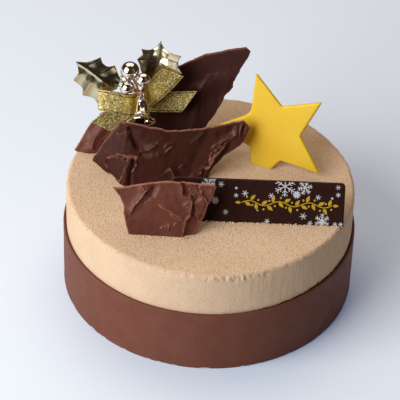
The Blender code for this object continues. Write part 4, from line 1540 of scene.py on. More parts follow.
@dataclass
class Shard:
    """A broken sheet of chocolate that was scraped while it set, with torn lips and broken sides."""

    name: str
    node: str
    outline: Path
    features: Sequence[Feature]
    origin: tuple[float, float, float]
    turn: float = 0.0
    lean: float = 25.0
    surface: Surface = upright
    thick: float = 2.6
    grid: float = 0.42
    back_share: float = 0.75
    waves: float = 0.10
    rough: Optional[Path] = None     # a path along which the face is torn
    painted_light_from: float = 99.0         # where painted light starts on the face, held to its right end
    seed: int = 100
    finish: Chocolate = BROKEN
    torn_off: float = 1.2        # how far beside the path the torn strip lies
    torn_width: float = 2.6

    def relief(self, points: Array) -> Array:
        """The face's height over its plane.

        Args:
            points: Rows of (u, v) on the sheet, in millimetres.

        Returns:
            One height for each point.
        """
        total = np.zeros(len(points))
        for feature in self.features:
            total += feature.height(points)
        total += self.waves * wave_noise(points, 6.5, self.seed)
        total += 0.9 * self.waves * wave_noise(points, 2.4, self.seed + 1)
        total += 0.3 * self.waves * wave_noise(points, 1.1, self.seed + 2)
        if self.rough is not None:
            gap, share = along_path(points, self.rough)
            streak = np.stack((gap / 0.9, share * 30 / 3.5), 1)
            total += self.torn_strip(gap) * (0.5 * wave_noise(streak, 1.0, self.seed + 3)
                                             + 0.2 * wave_noise(points, 0.9, self.seed + 4))
        return total

    def torn_strip(self, gap: Array) -> Array:
        """How torn the face is, 0 to 1, at a distance from the path."""
        return np.exp(-((gap + self.torn_off) / self.torn_width) ** 2)

    def painted_light(self, points: Array) -> Array:
        """How much painted light the face gets: highlights on torn lips and the torn strip, and light over
        its right end.

        Args:
            points: Rows of (u, v) on the sheet, in millimetres.

        Returns:
            One value for each point, 0 to 1.
        """
        # Painted highlights on the torn lips.
        pale = 0.8 * np.max([feature.torn(points) for feature in self.features], axis=0)
        if self.rough is not None:
            # A painted highlight in patches along the torn strip.
            patches = ease(0.5 + wave_noise(points, 1.3, self.seed + 5))
            pale = np.maximum(pale, 0.9 * patches * self.torn_strip(along_path(points, self.rough)[0]))
        # Painted light over the right end, which turns away from the lamps.
        return np.maximum(pale, 0.22 * ease((points[:, 0] - self.painted_light_from) / 8))

    def build(self) -> None:
        """Make the shard and stand it in its place."""
        bits = Bits()
        sheet = Sheet(self.outline, self.thick, self.grid, self.surface, self.relief, self.painted_light,
                      self.back_share, edge=0.4, ragged=0.22, side_rows=3, seed=self.seed)
        sheet.add_to(bits)
        bits.build(self.name, self.finish, [self.node], stand(self.origin, self.turn, self.lean), 55.0)


def bent(course: Path, lean: float) -> Surface:
    """The surface of a folded sheet: its foot follows a course, and it leans back all along.

    Args:
        course: Where the foot goes, as (x, y).
        lean: How far it leans back, in degrees.

    Returns:
        The function that puts a point of the sheet in space.
    """
    slope = math.tan(math.radians(lean))
    soften = np.array((-3.0, -1.5, 0.0, 1.5, 3.0))
    x, y = np.asarray(course, float).T
    rates = np.diff(y) / np.diff(x)

    def surface(u: Array, v: Array, depth: Array) -> Array:
        """Put points on the fold.

        Args:
            u: How far to the right.
            v: How far up.
            depth: How far toward the viewer.

        Returns:
            The points in space, one a row.
        """
        steps = u[:, None] + soften
        leg = np.clip(np.searchsorted(x, steps) - 1, 0, len(rates) - 1)
        foot = (y[leg] + rates[leg] * (steps - x[leg])).mean(1)
        rate = rates[leg].mean(1)
        out = np.stack((rate, -np.ones(len(u)), np.full(len(u), slope)), axis=1)
        out /= np.linalg.norm(out, axis=1)[:, None]
        return np.stack((u, foot + slope * v, v), axis=1) + out * depth[:, None]
    return surface


def front_shard() -> Shard:
    """The shard at the front: a raised plate, a flap at its left and a broken right side.

    Returns:
        The shard, ready to build.
    """
    outline = [(-14, -2), (12.5, -2), (16, 0.5), (19, 2.5), (20, 7), (22.5, 11), (24, 16.5), (26, 21),
               (27.5, 25.5), (26.5, 26.5), (19.5, 27), (11, 27.5), (2.5, 27.5), (-4.5, 26.5), (-10, 25.5),
               (-16, 24), (-20.5, 23), (-23, 23), (-20.5, 20), (-17.5, 15), (-17.5, 11), (-15.5, 3.5)]
    broken_edge = [(10, 28), (11, 24), (12, 21.5), (13.5, 21), (15, 21), (16, 19), (16.5, 16.5),
                   (16.5, 13.5), (15.5, 10.5)]
    features = shaped({
        Form.CREST: [
            (1.6, 2.8, [(-3.5, 25.5), (-4.5, 24), (-6.5, 22.5), (-8, 20), (-10, 17.5), (-12, 15),
             (-13.5, 11.5), (-14.5, 8.5)]),
            (0.9, 1.0, [(-9, 25), (-7.5, 22.5)]),
            (0.9, 1.4, broken_edge),
            (1.2, 1.0, [(20, 24), (20.5, 22.5), (22.5, 20), (24, 17)]),
            (0.7, 1.0, [(13, 10), (9.5, 10.5), (6, 12.5), (3, 14), (0.5, 15), (-0.5, 16)]),
            (0.5, 0.7, [(12, 8.5), (8.5, 9.5), (5.5, 11.5)]),
            (0.9, 0.7, [(15.5, 17.5), (13.5, 17), (12, 16)]),
            (1.4, 1.4, [(12, -1.5), (13, 3.5), (13.5, 7.5), (14.5, 10), (15.5, 11), (17.5, 10),
             (19.5, 9.5)]),
            (0.6, 0.6, [(1, 4), (2.5, 5)]),
            (0.7, 0.6, [(6, 7), (5.5, 5), (5.5, 2.5)]),
            (0.6, 0.6, [(7.5, 6), (9, 7), (10.5, 6.5)]),
            (0.5, 0.5, [(3.5, 5.5), (4.5, 4)]),
            (0.6, 0.8, [(-23, 21.5), (-21, 22), (-20, 20)]),
            (0.5, 1.2, [(-18, 8), (-16.5, 9.5), (-15, 9)]),
            (0.5, 0.9, [(24.5, 24.5), (26, 23.5), (25, 21.5)])],
        Form.RIDGE: [
            (-1.2, 1.6, [(-2.5, 24.5), (-4, 21)]),
            (-0.5, 0.9, [(-5.5, 18.5), (-7.5, 17)])],
        Form.PLATE: [
            (-1.9, 0.6, [(9.5, 29), *broken_edge, (13.5, 8), (13, 3.5), (12, -4)])],
        Form.FLAP: [
            (0.9, 0.9, [(17, 17.5), (20, 20), (21.5, 21.5), (23.5, 17), (21.5, 12.5), (20, 7.5),
             (17.5, 11)])],
        Form.RUBBLE: [
            (0.8, 1.1, [(12, 27.5), (21, 27), (22.5, 22.5), (21.5, 19), (17.5, 18.5), (14.5, 22)]),
            (0.5, 0.9, [(13, 16), (16, 16), (16.5, 12), (14, 12)])],
    })
    return Shard("front_shard_chocolate", "shard_front", outline, features, (-25.0, -44.4, CAKE_TOP),
                 -1.7, seed=110)


def middle_shard() -> Shard:
    """The widest shard: folded at its left, and drawn out to a point at its right.

    Returns:
        The shard, ready to build.
    """
    outline = [(-60.5, -2), (-2.5, -2), (0, 3.5), (2.5, 5.5), (6.5, 9.5), (14.5, 13.5), (17.5, 18),
               (19, 22), (15.5, 25.5), (6, 24), (-5, 24), (-17.5, 26.5), (-25.5, 28), (-41, 30),
               (-46.5, 29), (-51.5, 20.5), (-55.5, 13), (-61.5, 0)]
    course = [(-80, 37), (-61.5, 14.5), (-44, -7), (-22, -8), (-2, 3), (12, 7), (35, 9)]
    spine = [(8, 16.5), (5, 13), (2, 10), (0, 7), (-2.5, 4), (-4.5, 1.5)]
    features = shaped({
        Form.CREST: [
            (-2.6, 4.5, [(-38, 14), (-37, 16), (-38.5, 18.5), (-40, 21), (-41.5, 23.5), (-42.5, 26.5),
             (-44, 29.5), (-46.5, 32)]),
            (-1.3, 3.0, [(-57, 9), (-55.5, 9.5), (-54, 9.5), (-51.5, 9.5), (-50, 10.5), (-48, 12.5),
             (-46, 13.5), (-41.5, 15), (-37.5, 14.5)]),
            (0.9, 0.5, [(-46, 10.5), (-45, 13), (-44, 14.5), (-42.5, 14), (-40.5, 14)]),
            (0.8, 0.6, [(-53, 3), (-52.5, 3), (-51.5, 2.5)]),
            (1.0, 0.5, [(-38.5, 14), (-37.5, 12.5), (-38, 10), (-39.5, 8), (-41, 6.5)]),
            (0.4, 0.8, [(-48.5, 22), (-46, 23.5), (-43.5, 25.5)]),
            (1.1, 1.8, [(-28, 22), (-28.5, 20), (-30.5, 19), (-33, 18), (-35.5, 17)]),
            (0.9, 0.6, [(-24, 20), (-22.5, 21.5), (-20.5, 21.5), (-19, 20.5)]),
            (1.1, 0.7, [(-19, 20), (-21, 19.5), (-22.5, 18.5), (-23, 16.5)]),
            (0.8, 0.6, [(-27.5, 17), (-27, 16.5), (-26, 15.5)]),
            (1.0, 0.8, [(-16, 8.5), (-15, 9.5), (-13.5, 9.5)]),
            (1.9, 2.0, [(-21.5, 10.5), (-20, 8.5), (-19, 6), (-20, 3)]),
            (1.4, 1.2, [(-1, 14), (1.5, 15.5), (4.5, 16.5), (7, 17.5), (9.5, 17.5), (11, 19),
             (10.5, 20.5)]),
            (2.0, 3.0, spine),
            (1.3, 2.4, [(-4, 6.5), (-5, 5), (-6, 2), (-8, 1.5), (-11, 3)])],
        Form.FLAP: [
            (-1.1, 0.6, [(-51.5, 9), (-54, 6), (-54.5, 3.5), (-53.5, 2.5), (-52.5, 2), (-52, 0),
             (-49, -0.5), (-46.5, 1), (-45, 4.5), (-44, 8), (-43, 11), (-42.5, 13), (-44, 13.5),
             (-46.5, 11), (-48, 11), (-50, 10)])],
        Form.RIDGE: [
            (1.0, 1.0, [(-41, 13), (-42, 10.5), (-43, 8), (-43, 5.5), (-43.5, 1.5)]),
            (-1.8, 0.7, [(-39.5, 12.5), (-39.5, 10), (-40.5, 8.5), (-41, 4.5), (-41, 0.5)]),
            (0.5, 1.0, [(-43.5, 23), (-44, 19.5), (-44.5, 16)]),
            (-1.0, 1.2, [(-35.5, 15.5), (-33.5, 16), (-31.5, 16.5)]),
            (-1.1, 3.0, [(-16.5, 8), (-16, 3)]),
            (0.8, 1.0, [(-10, 19.5), (-8, 20), (-5, 22)]),
            (-0.6, 2.2, [(-3, 21), (-6, 16), (-8, 11.5), (-10, 8), (-11.5, 4.5)]),
            (-1.2, 1.8, [(4, 19.5), (7.5, 20), (9.5, 21.5)]),
            (-1.2, 0.6, [(-4, 0.5), (-4, 2.5), (-3, 4.5)]),
            (-0.8, 1.6, [(9.5, 15), (6, 10), (1.5, 5)]),
            (0.9, 0.6, [(14, 18.5), (14, 21), (15, 23.5)]),
            (0.8, 0.9, [(12, 19), (12, 22)]),
            (-0.8, 0.8, [(15.5, 20), (16, 22.5)])],
    })
    # Painted light lifts the part right of u = -26.
    return Shard("middle_shard_chocolate", "shard_middle", outline, features, (0.0, 0.0, CAKE_TOP),
                 0.0, 0.0, bent(course, 25.0), rough=spine, painted_light_from=-26.0, seed=130,
                 finish=SCRAPED)


def back_shard() -> Shard:
    """The tall dark shard behind: a curved top edge and a long broken right side.

    Returns:
        The shard, ready to build.
    """
    outline = [(-33, -2), (-5, -2), (0.5, 9.5), (6.5, 19), (10.5, 27.5), (14.5, 33), (14.5, 36), (18, 43),
               (21.5, 49.5), (22.5, 52.5), (20.5, 54.5), (11.5, 53), (0, 50), (-4, 48), (-13, 43.5),
               (-20, 36), (-27.5, 20), (-31, 9)]
    features = shaped({
        Form.RIDGE: [
            (0.9, 4.0, [(-10, 26), (0, 33), (8, 37), (16, 39)]),
            (-0.8, 5.0, [(-16, 14), (-6, 24), (6, 28)]),
            (0.7, 2.0, [(-6, 4), (-4, 20), (-1, 32)]),
            (0.3, 0.6, [(1, 37), (-2, 31.5), (0, 26), (-0.5, 17.5)]),
            (0.3, 0.5, [(12, 39), (11.5, 33.5), (9, 26), (8, 22)])],
        Form.CREST: [
            (0.35, 2.0, [(-1.5, 38.5), (4, 40), (10, 40.5), (15, 39)]),
            (0.3, 1.4, [(10, 39), (5, 37), (1, 31.5), (-0.5, 27.5)]),
            (0.3, 0.7, [(-2, 32), (-4, 31)])],
    })
    return Shard("back_shard_chocolate", "shard_back", outline, features, (-5.0, 30.0, CAKE_TOP),
                 lean=15.0, grid=0.75, waves=0.12, seed=150, finish=SMOOTH)


def left_shard() -> Shard:
    """The small shard at the left rim.

    Returns:
        The shard, ready to build.
    """
    outline = [(-5, 0.5), (-1, -2), (22, -2), (23, 5), (19, 12), (13, 16.5), (9, 22), (7, 21.5), (2, 15),
               (0, 11.5)]
    features = shaped({
        Form.RIDGE: [
            (1.2, 2.4, [(3, 2), (6, 9), (10, 17)]),
            (-0.8, 2.6, [(8, 2), (11, 10)])],
        Form.CREST: [
            (0.8, 1.6, [(6.5, 10), (5, 6), (4.5, 3), (5, 1)]),
            (0.4, 0.9, [(-0.5, 2.5), (1, -0.5)]),
            (0.7, 1.5, [(12.5, 11), (9, 7.5), (7.5, 2.5), (8.5, 0.5)])],
    })
    return Shard("left_shard_chocolate", "shard_left", outline, features, (-66.0, 20.6, CAKE_TOP),
                 -8.0, seed=170)


@dataclass
class Leaf:
    """A moulded holly leaf: scallops from spine to spine, and pillowed panels between its veins."""

    name: str
    node: str
    scallops: Sequence[Path]
    midrib: Path
    veins: Sequence[Path]
    thick: float = 0.7
    rise: float = 0.35           # how far the midrib stands over the panels
    vein: float = 1.0            # how far the side veins stand over the panels
    vein_width: float = 3.4
    folds: tuple[float, float] = (0.12, 0.12)    # how steeply its two halves go back
    twists: tuple[float, float] = (0.0, 0.0)     # how steeply each half leans back besides
    half_shades: tuple[float, float] = (0.5, 0.1)      # painted shade on each half, for its dark reflection
    root_shades: tuple[float, float] = (0.0, 0.0)     # how much the painted shade grows on each half toward the root
    vein_shade: float = 0.8          # painted shade behind each side vein
    lift: float = 0.4545         # how far up a point goes that comes forward, so that it looks the same
    set_back: tuple[float, float, float] = (0.0, 4.4, -2.0)
    rib_width: float = 0.6
    panel: float = 5.0           # how far from the midrib the side veins are full height
    vein_shade_width: float = 2.2

    def outline(self) -> Corners:
        """Its outline, with each scallop drawn smooth.

        Returns:
            Its points, in order.
        """
        points: Corners = []
        for scallop in self.scallops:
            points += [tuple(p) for p in curve_through(scallop, 5)[:-1]]
        return points

    def relief(self, points: Array) -> Array:
        """The height over the panels: a creased midrib, and creases out to the spines.

        Args:
            points: Rows of (u, v) on the sheet, in millimetres.

        Returns:
            One height for each point.
        """
        rib = np.abs(along_path(points, self.midrib)[0])
        ridge = np.zeros(len(points))
        for vein in self.veins:
            away = along_path(points, vein)[0]
            ridge = np.maximum(ridge, np.exp(-np.hypot(away, 0.15) / self.vein_width))
        return self.rise * np.exp(-rib / self.rib_width) + self.vein * ridge * ease(rib / self.panel)

    def painted_shade(self, points: Array) -> Array:
        """How much painted shade each point gets, 0 to 1, for the leaf's dark reflections.

        Args:
            points: Rows of (u, v) on the sheet, in millimetres.

        Returns:
            One value for each point.
        """
        away, share = along_path(points, self.midrib)
        total = np.where(away > 0, self.half_shades[0] + self.root_shades[0] * ease(2 * share - 0.8),
                         self.half_shades[1] + self.root_shades[1] * ease(2 * share - 0.8))
        # Painted shade behind each side vein.
        for vein in self.veins:
            gap, out = along_path(points, vein)
            behind = np.where(gap < 0, self.vein_shade * out, 0.0)
            total = np.maximum(total, behind * np.exp(gap / self.vein_shade_width))
        return total

    def surface(self, u: Array, v: Array, depth: Array) -> Array:
        """Its two halves bend back or forward from the midrib.

        Args:
            u: How far to the right.
            v: How far up.
            depth: How far toward the viewer.

        Returns:
            The points in space, one a row.
        """
        away = along_path(np.stack((u, v), 1), self.midrib)[0]
        fold = np.where(away > 0, self.folds[0], self.folds[1])
        twist = np.where(away > 0, self.twists[0], self.twists[1]) * ease(np.abs(away) / 4)
        back = fold * np.abs(away) + twist * (v - v.mean())
        return np.stack((u, back - depth, v - self.lift * back), axis=1)

    def build(self, pick: Matrix) -> None:
        """Make the leaf on the pick.

        Args:
            pick: The pick's place on the cake.
        """
        bits = Bits()
        Sheet(self.outline(), self.thick, 0.5, self.surface, self.relief, self.painted_shade, edge=0.22,
              side_rows=1).add_to(bits)
        bits.build(self.name, GILT, [self.node], pick @ Matrix.Translation(self.set_back), 35.0)


@dataclass
class Strap:
    """One length of ribbon through stations of (middle, edge to edge)."""

    name: str
    stations: Sequence[tuple[tuple[float, float, float], tuple[float, float, float]]]
    thick: float = 0.45
    along_steps: int = 12
    across_steps: int = 10
    curl: float = 0.14
    seed: int = 1

    def build(self, pick: Matrix) -> None:
        """Make the strap on the pick, with its distance from the edges marked.

        Args:
            pick: The pick's place on the cake.
        """
        middle = curve_through([m for m, across in self.stations], self.along_steps)
        across = curve_through([a for m, a in self.stations], self.along_steps)
        width = np.linalg.norm(across, axis=1)
        heading = np.gradient(middle, axis=0)
        normal = np.cross(heading, across)
        normal /= np.maximum(np.linalg.norm(normal, axis=1), 1e-9)[:, None]
        share = np.linspace(-0.5, 0.5, self.across_steps + 1)
        length = np.concatenate(([0], np.cumsum(np.linalg.norm(np.diff(middle, axis=0), axis=1))))
        grid = middle[:, None, :] + share[None, :, None] * across[:, None, :]
        place = np.stack((np.repeat(length, len(share)), np.tile(share * 9, len(length))), 1)
        wave = self.curl * wave_noise(place, 3.2, self.seed).reshape(len(length), len(share))
        wave *= (2 * np.abs(share)) ** 2
        inset = (0.5 - np.abs(share))[None, :] * width[:, None]
        half = self.thick / 2 * np.sqrt(np.clip(inset / 0.3, 0.25, 1.0))
        bits = Bits()
        front = grid + normal[:, None, :] * (wave + half)[..., None]
        back = grid + normal[:, None, :] * (wave - half)[..., None]
        rows, columns = inset.shape
        number = np.arange(rows * columns).reshape(rows, columns)
        count = rows * columns
        faces = []
        for i in range(rows - 1):
            for j in range(columns - 1):
                a, b, c, d = number[i, j], number[i, j + 1], number[i + 1, j + 1], number[i + 1, j]
                faces += [(a, b, c, d), (d + count, c + count, b + count, a + count)]
        loop = [*number[0, :-1], *number[:-1, -1], *number[-1, :0:-1], *number[:0:-1, 0]]
        for a, b in zip(loop, loop[1:] + loop[:1]):
            faces.append((b, a, a + count, b + count))
        points = np.concatenate((front.reshape(-1, 3), back.reshape(-1, 3)))
        bits.add(points, faces, inset=np.tile(inset.ravel(), 2),
                 along=np.tile(np.repeat(length, columns), 2), near=np.exp(-np.abs(points[:, 0]) / 10.0))
        bits.build(self.name + "_lame", LAME, [self.name], pick, 60.0)


@dataclass
class Bell:
    """The bell: a fluted cap, a waist, a beaded flare and a clapper."""

    nod: float = 40.0            # degrees that its mouth is raised
    swing: float = 3.5           # degrees that it hangs to the right
    top: tuple[float, float, float] = (-0.3, -1.2, 3.0)
    flutes: int = 12
    flute: float = 0.06          # depth of a flute, as a share of the cap's radius
    fluted: tuple[float, float] = (0.4, 4.6)     # how far down the flutes start and end

    def outer(self) -> Corners:
        """Radius at each length down from the cap.

        Returns:
            The rows, in order.
        """
        cap = [(0.0, 0.0), (1.2, 0.0), (1.8, 0.15), (2.1, 0.5), (2.15, 1.6), (2.15, 3.0), (2.2, 4.5)]
        collar = [(2.35, 4.7), (2.8, 4.85), (2.95, 5.05), (2.9, 5.3), (2.8, 5.45)]
        body = curve_through([(2.8, 5.5), (3.0, 7.4), (3.25, 9.4), (3.55, 11.0)], 6)
        bead = [(3.75, 11.1), (4.0, 11.3), (4.1, 11.6), (4.05, 11.9), (3.95, 12.1)]
        flare = curve_through([(4.0, 12.3), (4.6, 13.2), (5.5, 14.1), (6.4, 14.9)], 6)
        lip = [(6.7, 15.1), (6.85, 15.35), (6.8, 15.65), (6.6, 15.8)]
        return cap + collar + [tuple(p) for p in body] + bead + [tuple(p) for p in flare] + lip

    def inner(self) -> Corners:
        """Radius inside, from the mouth up to the crown.

        Returns:
            The rows, in order.
        """
        course = curve_through([(6.3, 15.7), (5.7, 14.8), (4.6, 13.7), (3.6, 12.6), (3.0, 10.6),
                                (2.5, 7.0), (2.2, 5.4), (0.0, 5.2)], 4)
        return [(max(0.0, r), down) for r, down in course]

    def build(self, pick: Matrix) -> None:
        """Make the bell and its clapper on the pick.

        Args:
            pick: The pick's place on the cake.
        """
        hung = (pick @ Matrix.Translation(self.top) @ Matrix.Rotation(math.radians(-self.swing), 4, "Y")
                @ Matrix.Rotation(math.radians(-self.nod), 4, "X"))
        points, faces = turned([(r, -down) for r, down in self.outer() + self.inner()], 96)
        angle = np.arctan2(points[:, 1], points[:, 0])
        on_cap = (points[:, 2] < -self.fluted[0]) & (points[:, 2] > -self.fluted[1])
        points[:, :2] *= (1 + self.flute * np.cos(self.flutes * angle) * on_cap)[:, None]
        bits = Bits()
        bits.add(points, faces)
        bits.build("bell_gilt", CHROME, ["bell"], hung, 40.0)
        clapper = Bits()
        clapper.add(*sphere((3.2, 0.2, -15.2), 2.3))
        clapper.add(*tube(np.array([(3.0, 0.2, -13.8), (2.0, 0.1, -10.6), (0.5, 0.0, -7.4),
                                    (0.0, 0.0, -5.6)]), 0.45))
        clapper.build("bell_clapper_gilt", GILT, ["bell_clapper"], hung)


@dataclass
class Pick:
    """The gilt pick: stem, leaves, balls, bow and bell, on one leaning frame."""

    knot: tuple[float, float, float] = (-36.3, 26.9, 91.5)
    lean: float = 15.0
    stem_radius: float = 1.1
    stem_depth: float = 24.0
    stem_axis: float = 2.5
    wire: float = 0.45
    # For each ball: its node, its middle, its radius, and where its wires start.
    balls: tuple[tuple[str, tuple[float, ...], float, tuple[float, ...]], ...] = (
        ("berry_top", (-6.7, -2.5, 15.1), 4.8, (-1.4, 0.4, 0.8)),
        ("berry_right", (0.3, -6.3, 11.8), 3.7, (-0.4, 0.6, 1.4)),
        ("berry_low", (-7.6, -5.2, 6.6), 3.9, (-2.4, 0.2, 0.2)),
        ("berry_left", (-8.8, 3.4, 8.5), 2.8, (-2.9, 1.4, 1.0)),
    )

    def build(self) -> None:
        """Build every piece of the pick."""
        pick = stand(self.knot, 0.0, self.lean)
        self.leaves(pick)
        self.berries(pick)
        self.ribbon(pick)
        Bell().build(pick)
        self.stem(pick)

    def leaves(self, pick: Matrix) -> None:
        """Two holly leaves, fanned out to the left and up to the right.

        Args:
            pick: The pick's place on the cake.
        """
        Leaf("leaf_left_gilt", "leaf_left",
             [[(-34.6, 18.3), (-30, 18.1), (-25.9, 19.5), (-22, 21.5)],
              [(-22, 21.5), (-20.9, 18), (-18.1, 16.5), (-14.8, 17.4)],
              [(-14.8, 17.4), (-13.9, 14.9), (-12.8, 12.1), (-11.4, 10.2)],
              [(-11.4, 10.2), (-12.6, 6.6), (-13.4, 4.2)],
              [(-13.4, 4.2), (-18, 1.5), (-23.2, -3.7)],
              [(-23.2, -3.7), (-25.6, -1), (-31, 0.5)],
              [(-31, 0.5), (-31.3, 4.4), (-35.7, 8.4)],
              [(-35.7, 8.4), (-33.6, 12), (-33.6, 15.4), (-34.6, 18.3)]],
             [(-34.6, 18.3), (-28.4, 14.4), (-17.9, 6.3), (-13.4, 4.2)],
             [[(-29.5, 15.1), (-22, 21.5)], [(-23.4, 10.6), (-14.8, 17.4)],
              [(-18.6, 6.8), (-11.4, 10.2)], [(-29.5, 15.1), (-35.7, 8.4)],
              [(-24.6, 11.5), (-31, 0.5)], [(-19.6, 7.6), (-23.2, -3.7)]], folds=(0.2, 0.1),
             half_shades=(0.55, 0.12), root_shades=(0.2, 0.0)).build(pick)
        Leaf("leaf_right_gilt", "leaf_right",
             [[(8.5, 31.3), (6.3, 28.2), (2.3, 26.4), (-1.4, 26.9)],
              [(-1.4, 26.9), (-1, 23.6), (-3.5, 21.1)],
              [(-3.5, 21.1), (-2.2, 18.2), (-1.4, 14.6)],
              [(-1.4, 14.6), (0.8, 11.8), (5.2, 9.6), (9.0, 11.4), (13, 13.8), (20.1, 13.6)],
              [(20.1, 13.6), (17.9, 17.5), (17.6, 20.4), (19, 23.3)],
              [(19, 23.3), (12.3, 25.5), (9.2, 28.6), (8.5, 31.3)]],
             [(8.5, 31.3), (7.6, 21.5), (6.3, 16.6), (5, 13.4)],
             [[(8.2, 27), (-1.4, 26.9)], [(7.6, 21.5), (-3.5, 21.1)],
              [(8.1, 26), (19, 23.3)], [(7.4, 20.6), (20.1, 13.6)]], folds=(-0.25, 0.0),
             twists=(0.0, 0.22), half_shades=(0.0, 0.42), root_shades=(0.15, 0.5)).build(pick)

    def berries(self, pick: Matrix) -> None:
        """Four gilt balls, and the rose-gold wires that hold them.

        Args:
            pick: The pick's place on the cake.
        """
        wires = Bits()
        for name, centre, radius, root in self.balls:
            bits = Bits()
            bits.add(*sphere(centre, radius))
            bits.build(name + "_gilt", CHROME, [name], pick, 60.0)
            middle = (np.array(centre) + root) / 2 + (0.3, 0.4, -0.3)
            for twist in (-0.3, 0.3):
                course = curve_through([centre, middle + (twist, twist, 0), root], 10)
                wires.add(*tube(course, self.wire, 10))
        wires.build("berry_wires", WIRE, place=pick)

    def ribbon(self, pick: Matrix) -> None:
        """The bow: two flattened loops, two tails with slanting ends, and the knot.

        Args:
            pick: The pick's place on the cake.
        """
        straight, tilted = (0.0, 0.0, 11.2), (1.1, 0.0, 11.1)
        Strap("ribbon_loop_left",
              [((-0.8, 1.2, -4.6), straight), ((-3.6, 1.2, -5.0), straight),
               ((-6.0, -0.8, -4.6), tilted), ((-10.0, -1.8, -4.0), tilted),
               ((-16.5, -2.0, -2.4), tilted), ((-21.6, -0.9, -2.2), straight),
               ((-22.0, 1.2, -2.8), straight), ((-16.5, 2.4, -3.8), straight),
               ((-9.0, 2.4, -4.8), straight), ((-3.6, 2.4, -5.2), straight),
               ((-0.8, 2.4, -5.0), straight)], seed=201).build(pick)
        root, near, middle, far = (-3.4, 0.0, 10.6), (-6.6, 0.0, 8.9), (-9.2, 0.0, 6.4), (-10.7, 0.0, 4.2)
        Strap("ribbon_loop_right",
              [((1.6, 1.6, -1.4), root), ((3.9, 1.1, 1.0), root), ((6.6, -1.5, 4.9), near),
               ((11.0, -2.3, 10.0), middle),
               ((14.5, -0.9, 13.8), far), ((14.7, 1.2, 13.1), far), ((11.0, 2.0, 8.8), middle),
               ((7.0, 2.2, 4.3), near), ((3.9, 2.3, 0.8), root), ((1.6, 2.4, -1.6), root)],
              seed=202).build(pick)
        Strap("ribbon_tail_left",
              [((-1.2, 3.2, -5.2), (-1.0, 0.0, 11.2)), ((-4.6, 3.6, -6.4), (-1.0, 0.0, 11.2)),
               ((-10, 4.2, -9.8), (-6.0, 0.0, 9.5)),
               ((-15, 3.3, -13.6), (-8.4, 0.0, 7.6)), ((-20.6, 0.6, -17.6), (-10.9, 0.0, 5.3))],
              seed=203).build(pick)
        Strap("ribbon_tail_right",
              [((1.0, 3.2, -3.6), (1.1, 0.0, 11.1)), ((4.4, 3.4, -3.6), (1.1, 0.0, 11.1)),
               ((9, 4.0, -3.8), (1.3, 0.0, 11.1)),
               ((16, 4.0, -3.4), (3.4, 0.0, 11.4)), ((24.0, 3.2, -2.6), (7.3, 0.0, 11.9))],
              seed=204).build(pick)
        self.wrap(pick)

    def wrap(self, pick: Matrix) -> None:
        """The wrap at the middle of the bow: a soft gathered band.

        Args:
            pick: The pick's place on the cake.
        """
        half_width, half_depth, half_height, middle = 2.9, 1.7, 4.4, (0.0, 2.5, -1.4)
        points, faces = sphere((0.0, 0.0, 0.0), 1.0, 40)
        signs, size = np.sign(points), np.abs(points) ** 0.45
        creases = 1 + 0.05 * np.sin(points[:, 0] * 9)
        form = signs * size * (half_width, half_depth, half_height)
        form[:, 1:] *= creases[:, None]
        limit = np.array((half_width, half_depth, half_height))
        form = np.clip(form, -limit, limit)
        bits = Bits()
        bits.add(form + middle, faces, inset=3.0, along=0.0, near=1.0)
        bits.build("ribbon_knot_lame", LAME, ["ribbon_knot"], pick, 60.0)

    def stem(self, pick: Matrix) -> None:
        """The clear green stem in the mousse, and thin sprigs of it beside the left leaf.

        Args:
            pick: The pick's place on the cake.
        """
        drop = (self.knot[2] - CAKE_TOP) / math.cos(math.radians(self.lean))
        foot = -drop - self.stem_depth
        heights = np.linspace(-6.4, foot, 30)
        course = np.stack((0 * heights, 0 * heights + self.stem_axis, heights), 1)
        radii = np.where(heights < foot + 3, self.stem_radius * 0.75, self.stem_radius)
        bits = Bits()
        bits.add(*tube(course, radii, 24))
        bits.build("pick_stem_clear", GREEN, ["pick_stem"], pick, 50.0)
        sprigs = Bits()
        for tip in ((-11.6, 1.6, 10.8), (-13.6, 1.8, 8.6), (-14.2, 2.0, 5.4)):
            halfway = ((-2.6 + tip[0]) / 2 - 1.5, 3.6, tip[2] / 2 + 1.0)
            course = curve_through([(-2.6, 3.4, 2.0), halfway, tip], 8)
            sprigs.add(*tube(course, np.linspace(0.5, 0.28, len(course)), 10))
        sprigs.build("pick_sprigs_clear", GREEN, place=pick)


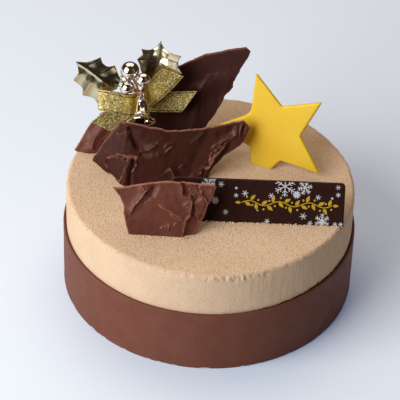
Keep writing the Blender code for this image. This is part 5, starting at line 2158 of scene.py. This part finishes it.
@dataclass
class Studio:
    """The floor, the soft light and the camera."""

    distance: float = 1137.8
    raised: float = 39.514       # degrees above the horizon
    aim_height: float = 30.0
    yaw: float = -0.258
    pitch: float = 0.687
    roll: float = 2.060
    lens: float = 198.0
    sensor: float = 36.0

    def build(self) -> None:
        """Set the whole studio up."""
        self.camera()
        self.floor()
        self.light("window", (-850.0, -617.0, 655.0), (1000.0, 1100.0), 23.0, "#fdfcff")
        self.light("card", (850.0, -560.0, 450.0), (600.0, 1200.0), 0.42, "#ffd0a0")
        self.light("ceiling", (-60.0, 650.0, 1225.0), (1700.0, 1300.0), 12.5, "#fff0e2")
        self.sky("#e6ccb2", 0.06)
        bpy.context.scene.view_settings.view_transform = "Standard"

    def camera(self) -> None:
        """The camera, where the photograph was taken from."""
        raised = math.radians(self.raised)
        eye = Vector((0.0, -self.distance * math.cos(raised),
                      self.aim_height + self.distance * math.sin(raised)))
        forward = (Vector((0.0, 0.0, self.aim_height)) - eye).normalized()
        right = forward.cross(Vector((0.0, 0.0, 1.0))).normalized()
        up = right.cross(forward)
        forward = (forward + math.tan(math.radians(self.yaw)) * right
                   + math.tan(math.radians(self.pitch)) * up).normalized()
        right = forward.cross(Vector((0.0, 0.0, 1.0))).normalized()
        up = right.cross(forward)
        roll = math.radians(self.roll)
        side = math.cos(roll) * right + math.sin(roll) * up
        top = -math.sin(roll) * right + math.cos(roll) * up
        data = bpy.data.cameras.new("camera")
        data.lens, data.sensor_width = self.lens, self.sensor
        data.clip_start, data.clip_end = 0.05, 50.0
        camera = bpy.data.objects.new("camera", data)
        facing = Matrix((side, top, -forward)).transposed().to_4x4()
        camera.matrix_world = Matrix.Translation(eye * MM) @ facing
        bpy.context.scene.collection.objects.link(camera)
        bpy.context.scene.camera = camera

    def floor(self) -> None:
        """A plain pale board."""
        mesh = bpy.data.meshes.new("floor")
        side, front, back = 900 * MM, -520 * MM, 1400 * MM
        mesh.from_pydata([(-side, front, 0), (side, front, 0), (side, back, 0), (-side, back, 0)],
                         [], [(0, 1, 2, 3)])
        mesh.materials.append(BOARD.material())
        board = bpy.data.objects.new("floor", mesh)
        bpy.context.scene.collection.objects.link(board)

    def light(self, name: str, where: Sequence[float], size: tuple[float, float], power: float,
              colour: str) -> None:
        """A soft light that points at the cake.

        Args:
            name: The light's name.
            where: Its middle, in millimetres.
            size: Its width and height, in millimetres.
            power: Its power, in watts.
            colour: Its sRGB colour.
        """
        data = bpy.data.lights.new(name, "AREA")
        data.shape, data.energy = "RECTANGLE", power
        data.size, data.size_y = size[0] * MM, size[1] * MM
        data.color = linear(colour)[:3]
        lamp = bpy.data.objects.new(name, data)
        place = Vector(where) * MM
        lamp.location = place
        lamp.rotation_euler = (Vector((0, 0, 0.04)) - place).to_track_quat("-Z", "Y").to_euler()
        bpy.context.scene.collection.objects.link(lamp)

    def sky(self, colour: str, strength: float) -> None:
        """The light of the room: even, weak and a little warm.

        Args:
            colour: Its colour, in sRGB hex.
            strength: How strong it is.
        """
        world = bpy.data.worlds.new("room")
        world.use_nodes = True
        ground = world.node_tree.nodes["Background"]
        ground.inputs["Color"].default_value = linear(colour)
        ground.inputs["Strength"].default_value = strength
        bpy.context.scene.world = world


def main() -> None:
    """Set up the studio, then build the cake piece by piece."""
    logging.basicConfig(level=logging.INFO, format="%(message)s")
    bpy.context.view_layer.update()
    Studio().build()
    Mousse().build()
    Crumbs().build()
    Band().build()
    Star().build()
    Plaque().build()
    for shard in (front_shard(), middle_shard(), back_shard(), left_shard()):
        shard.build()
    Pick().build()


if __name__ == "__main__":
    main()
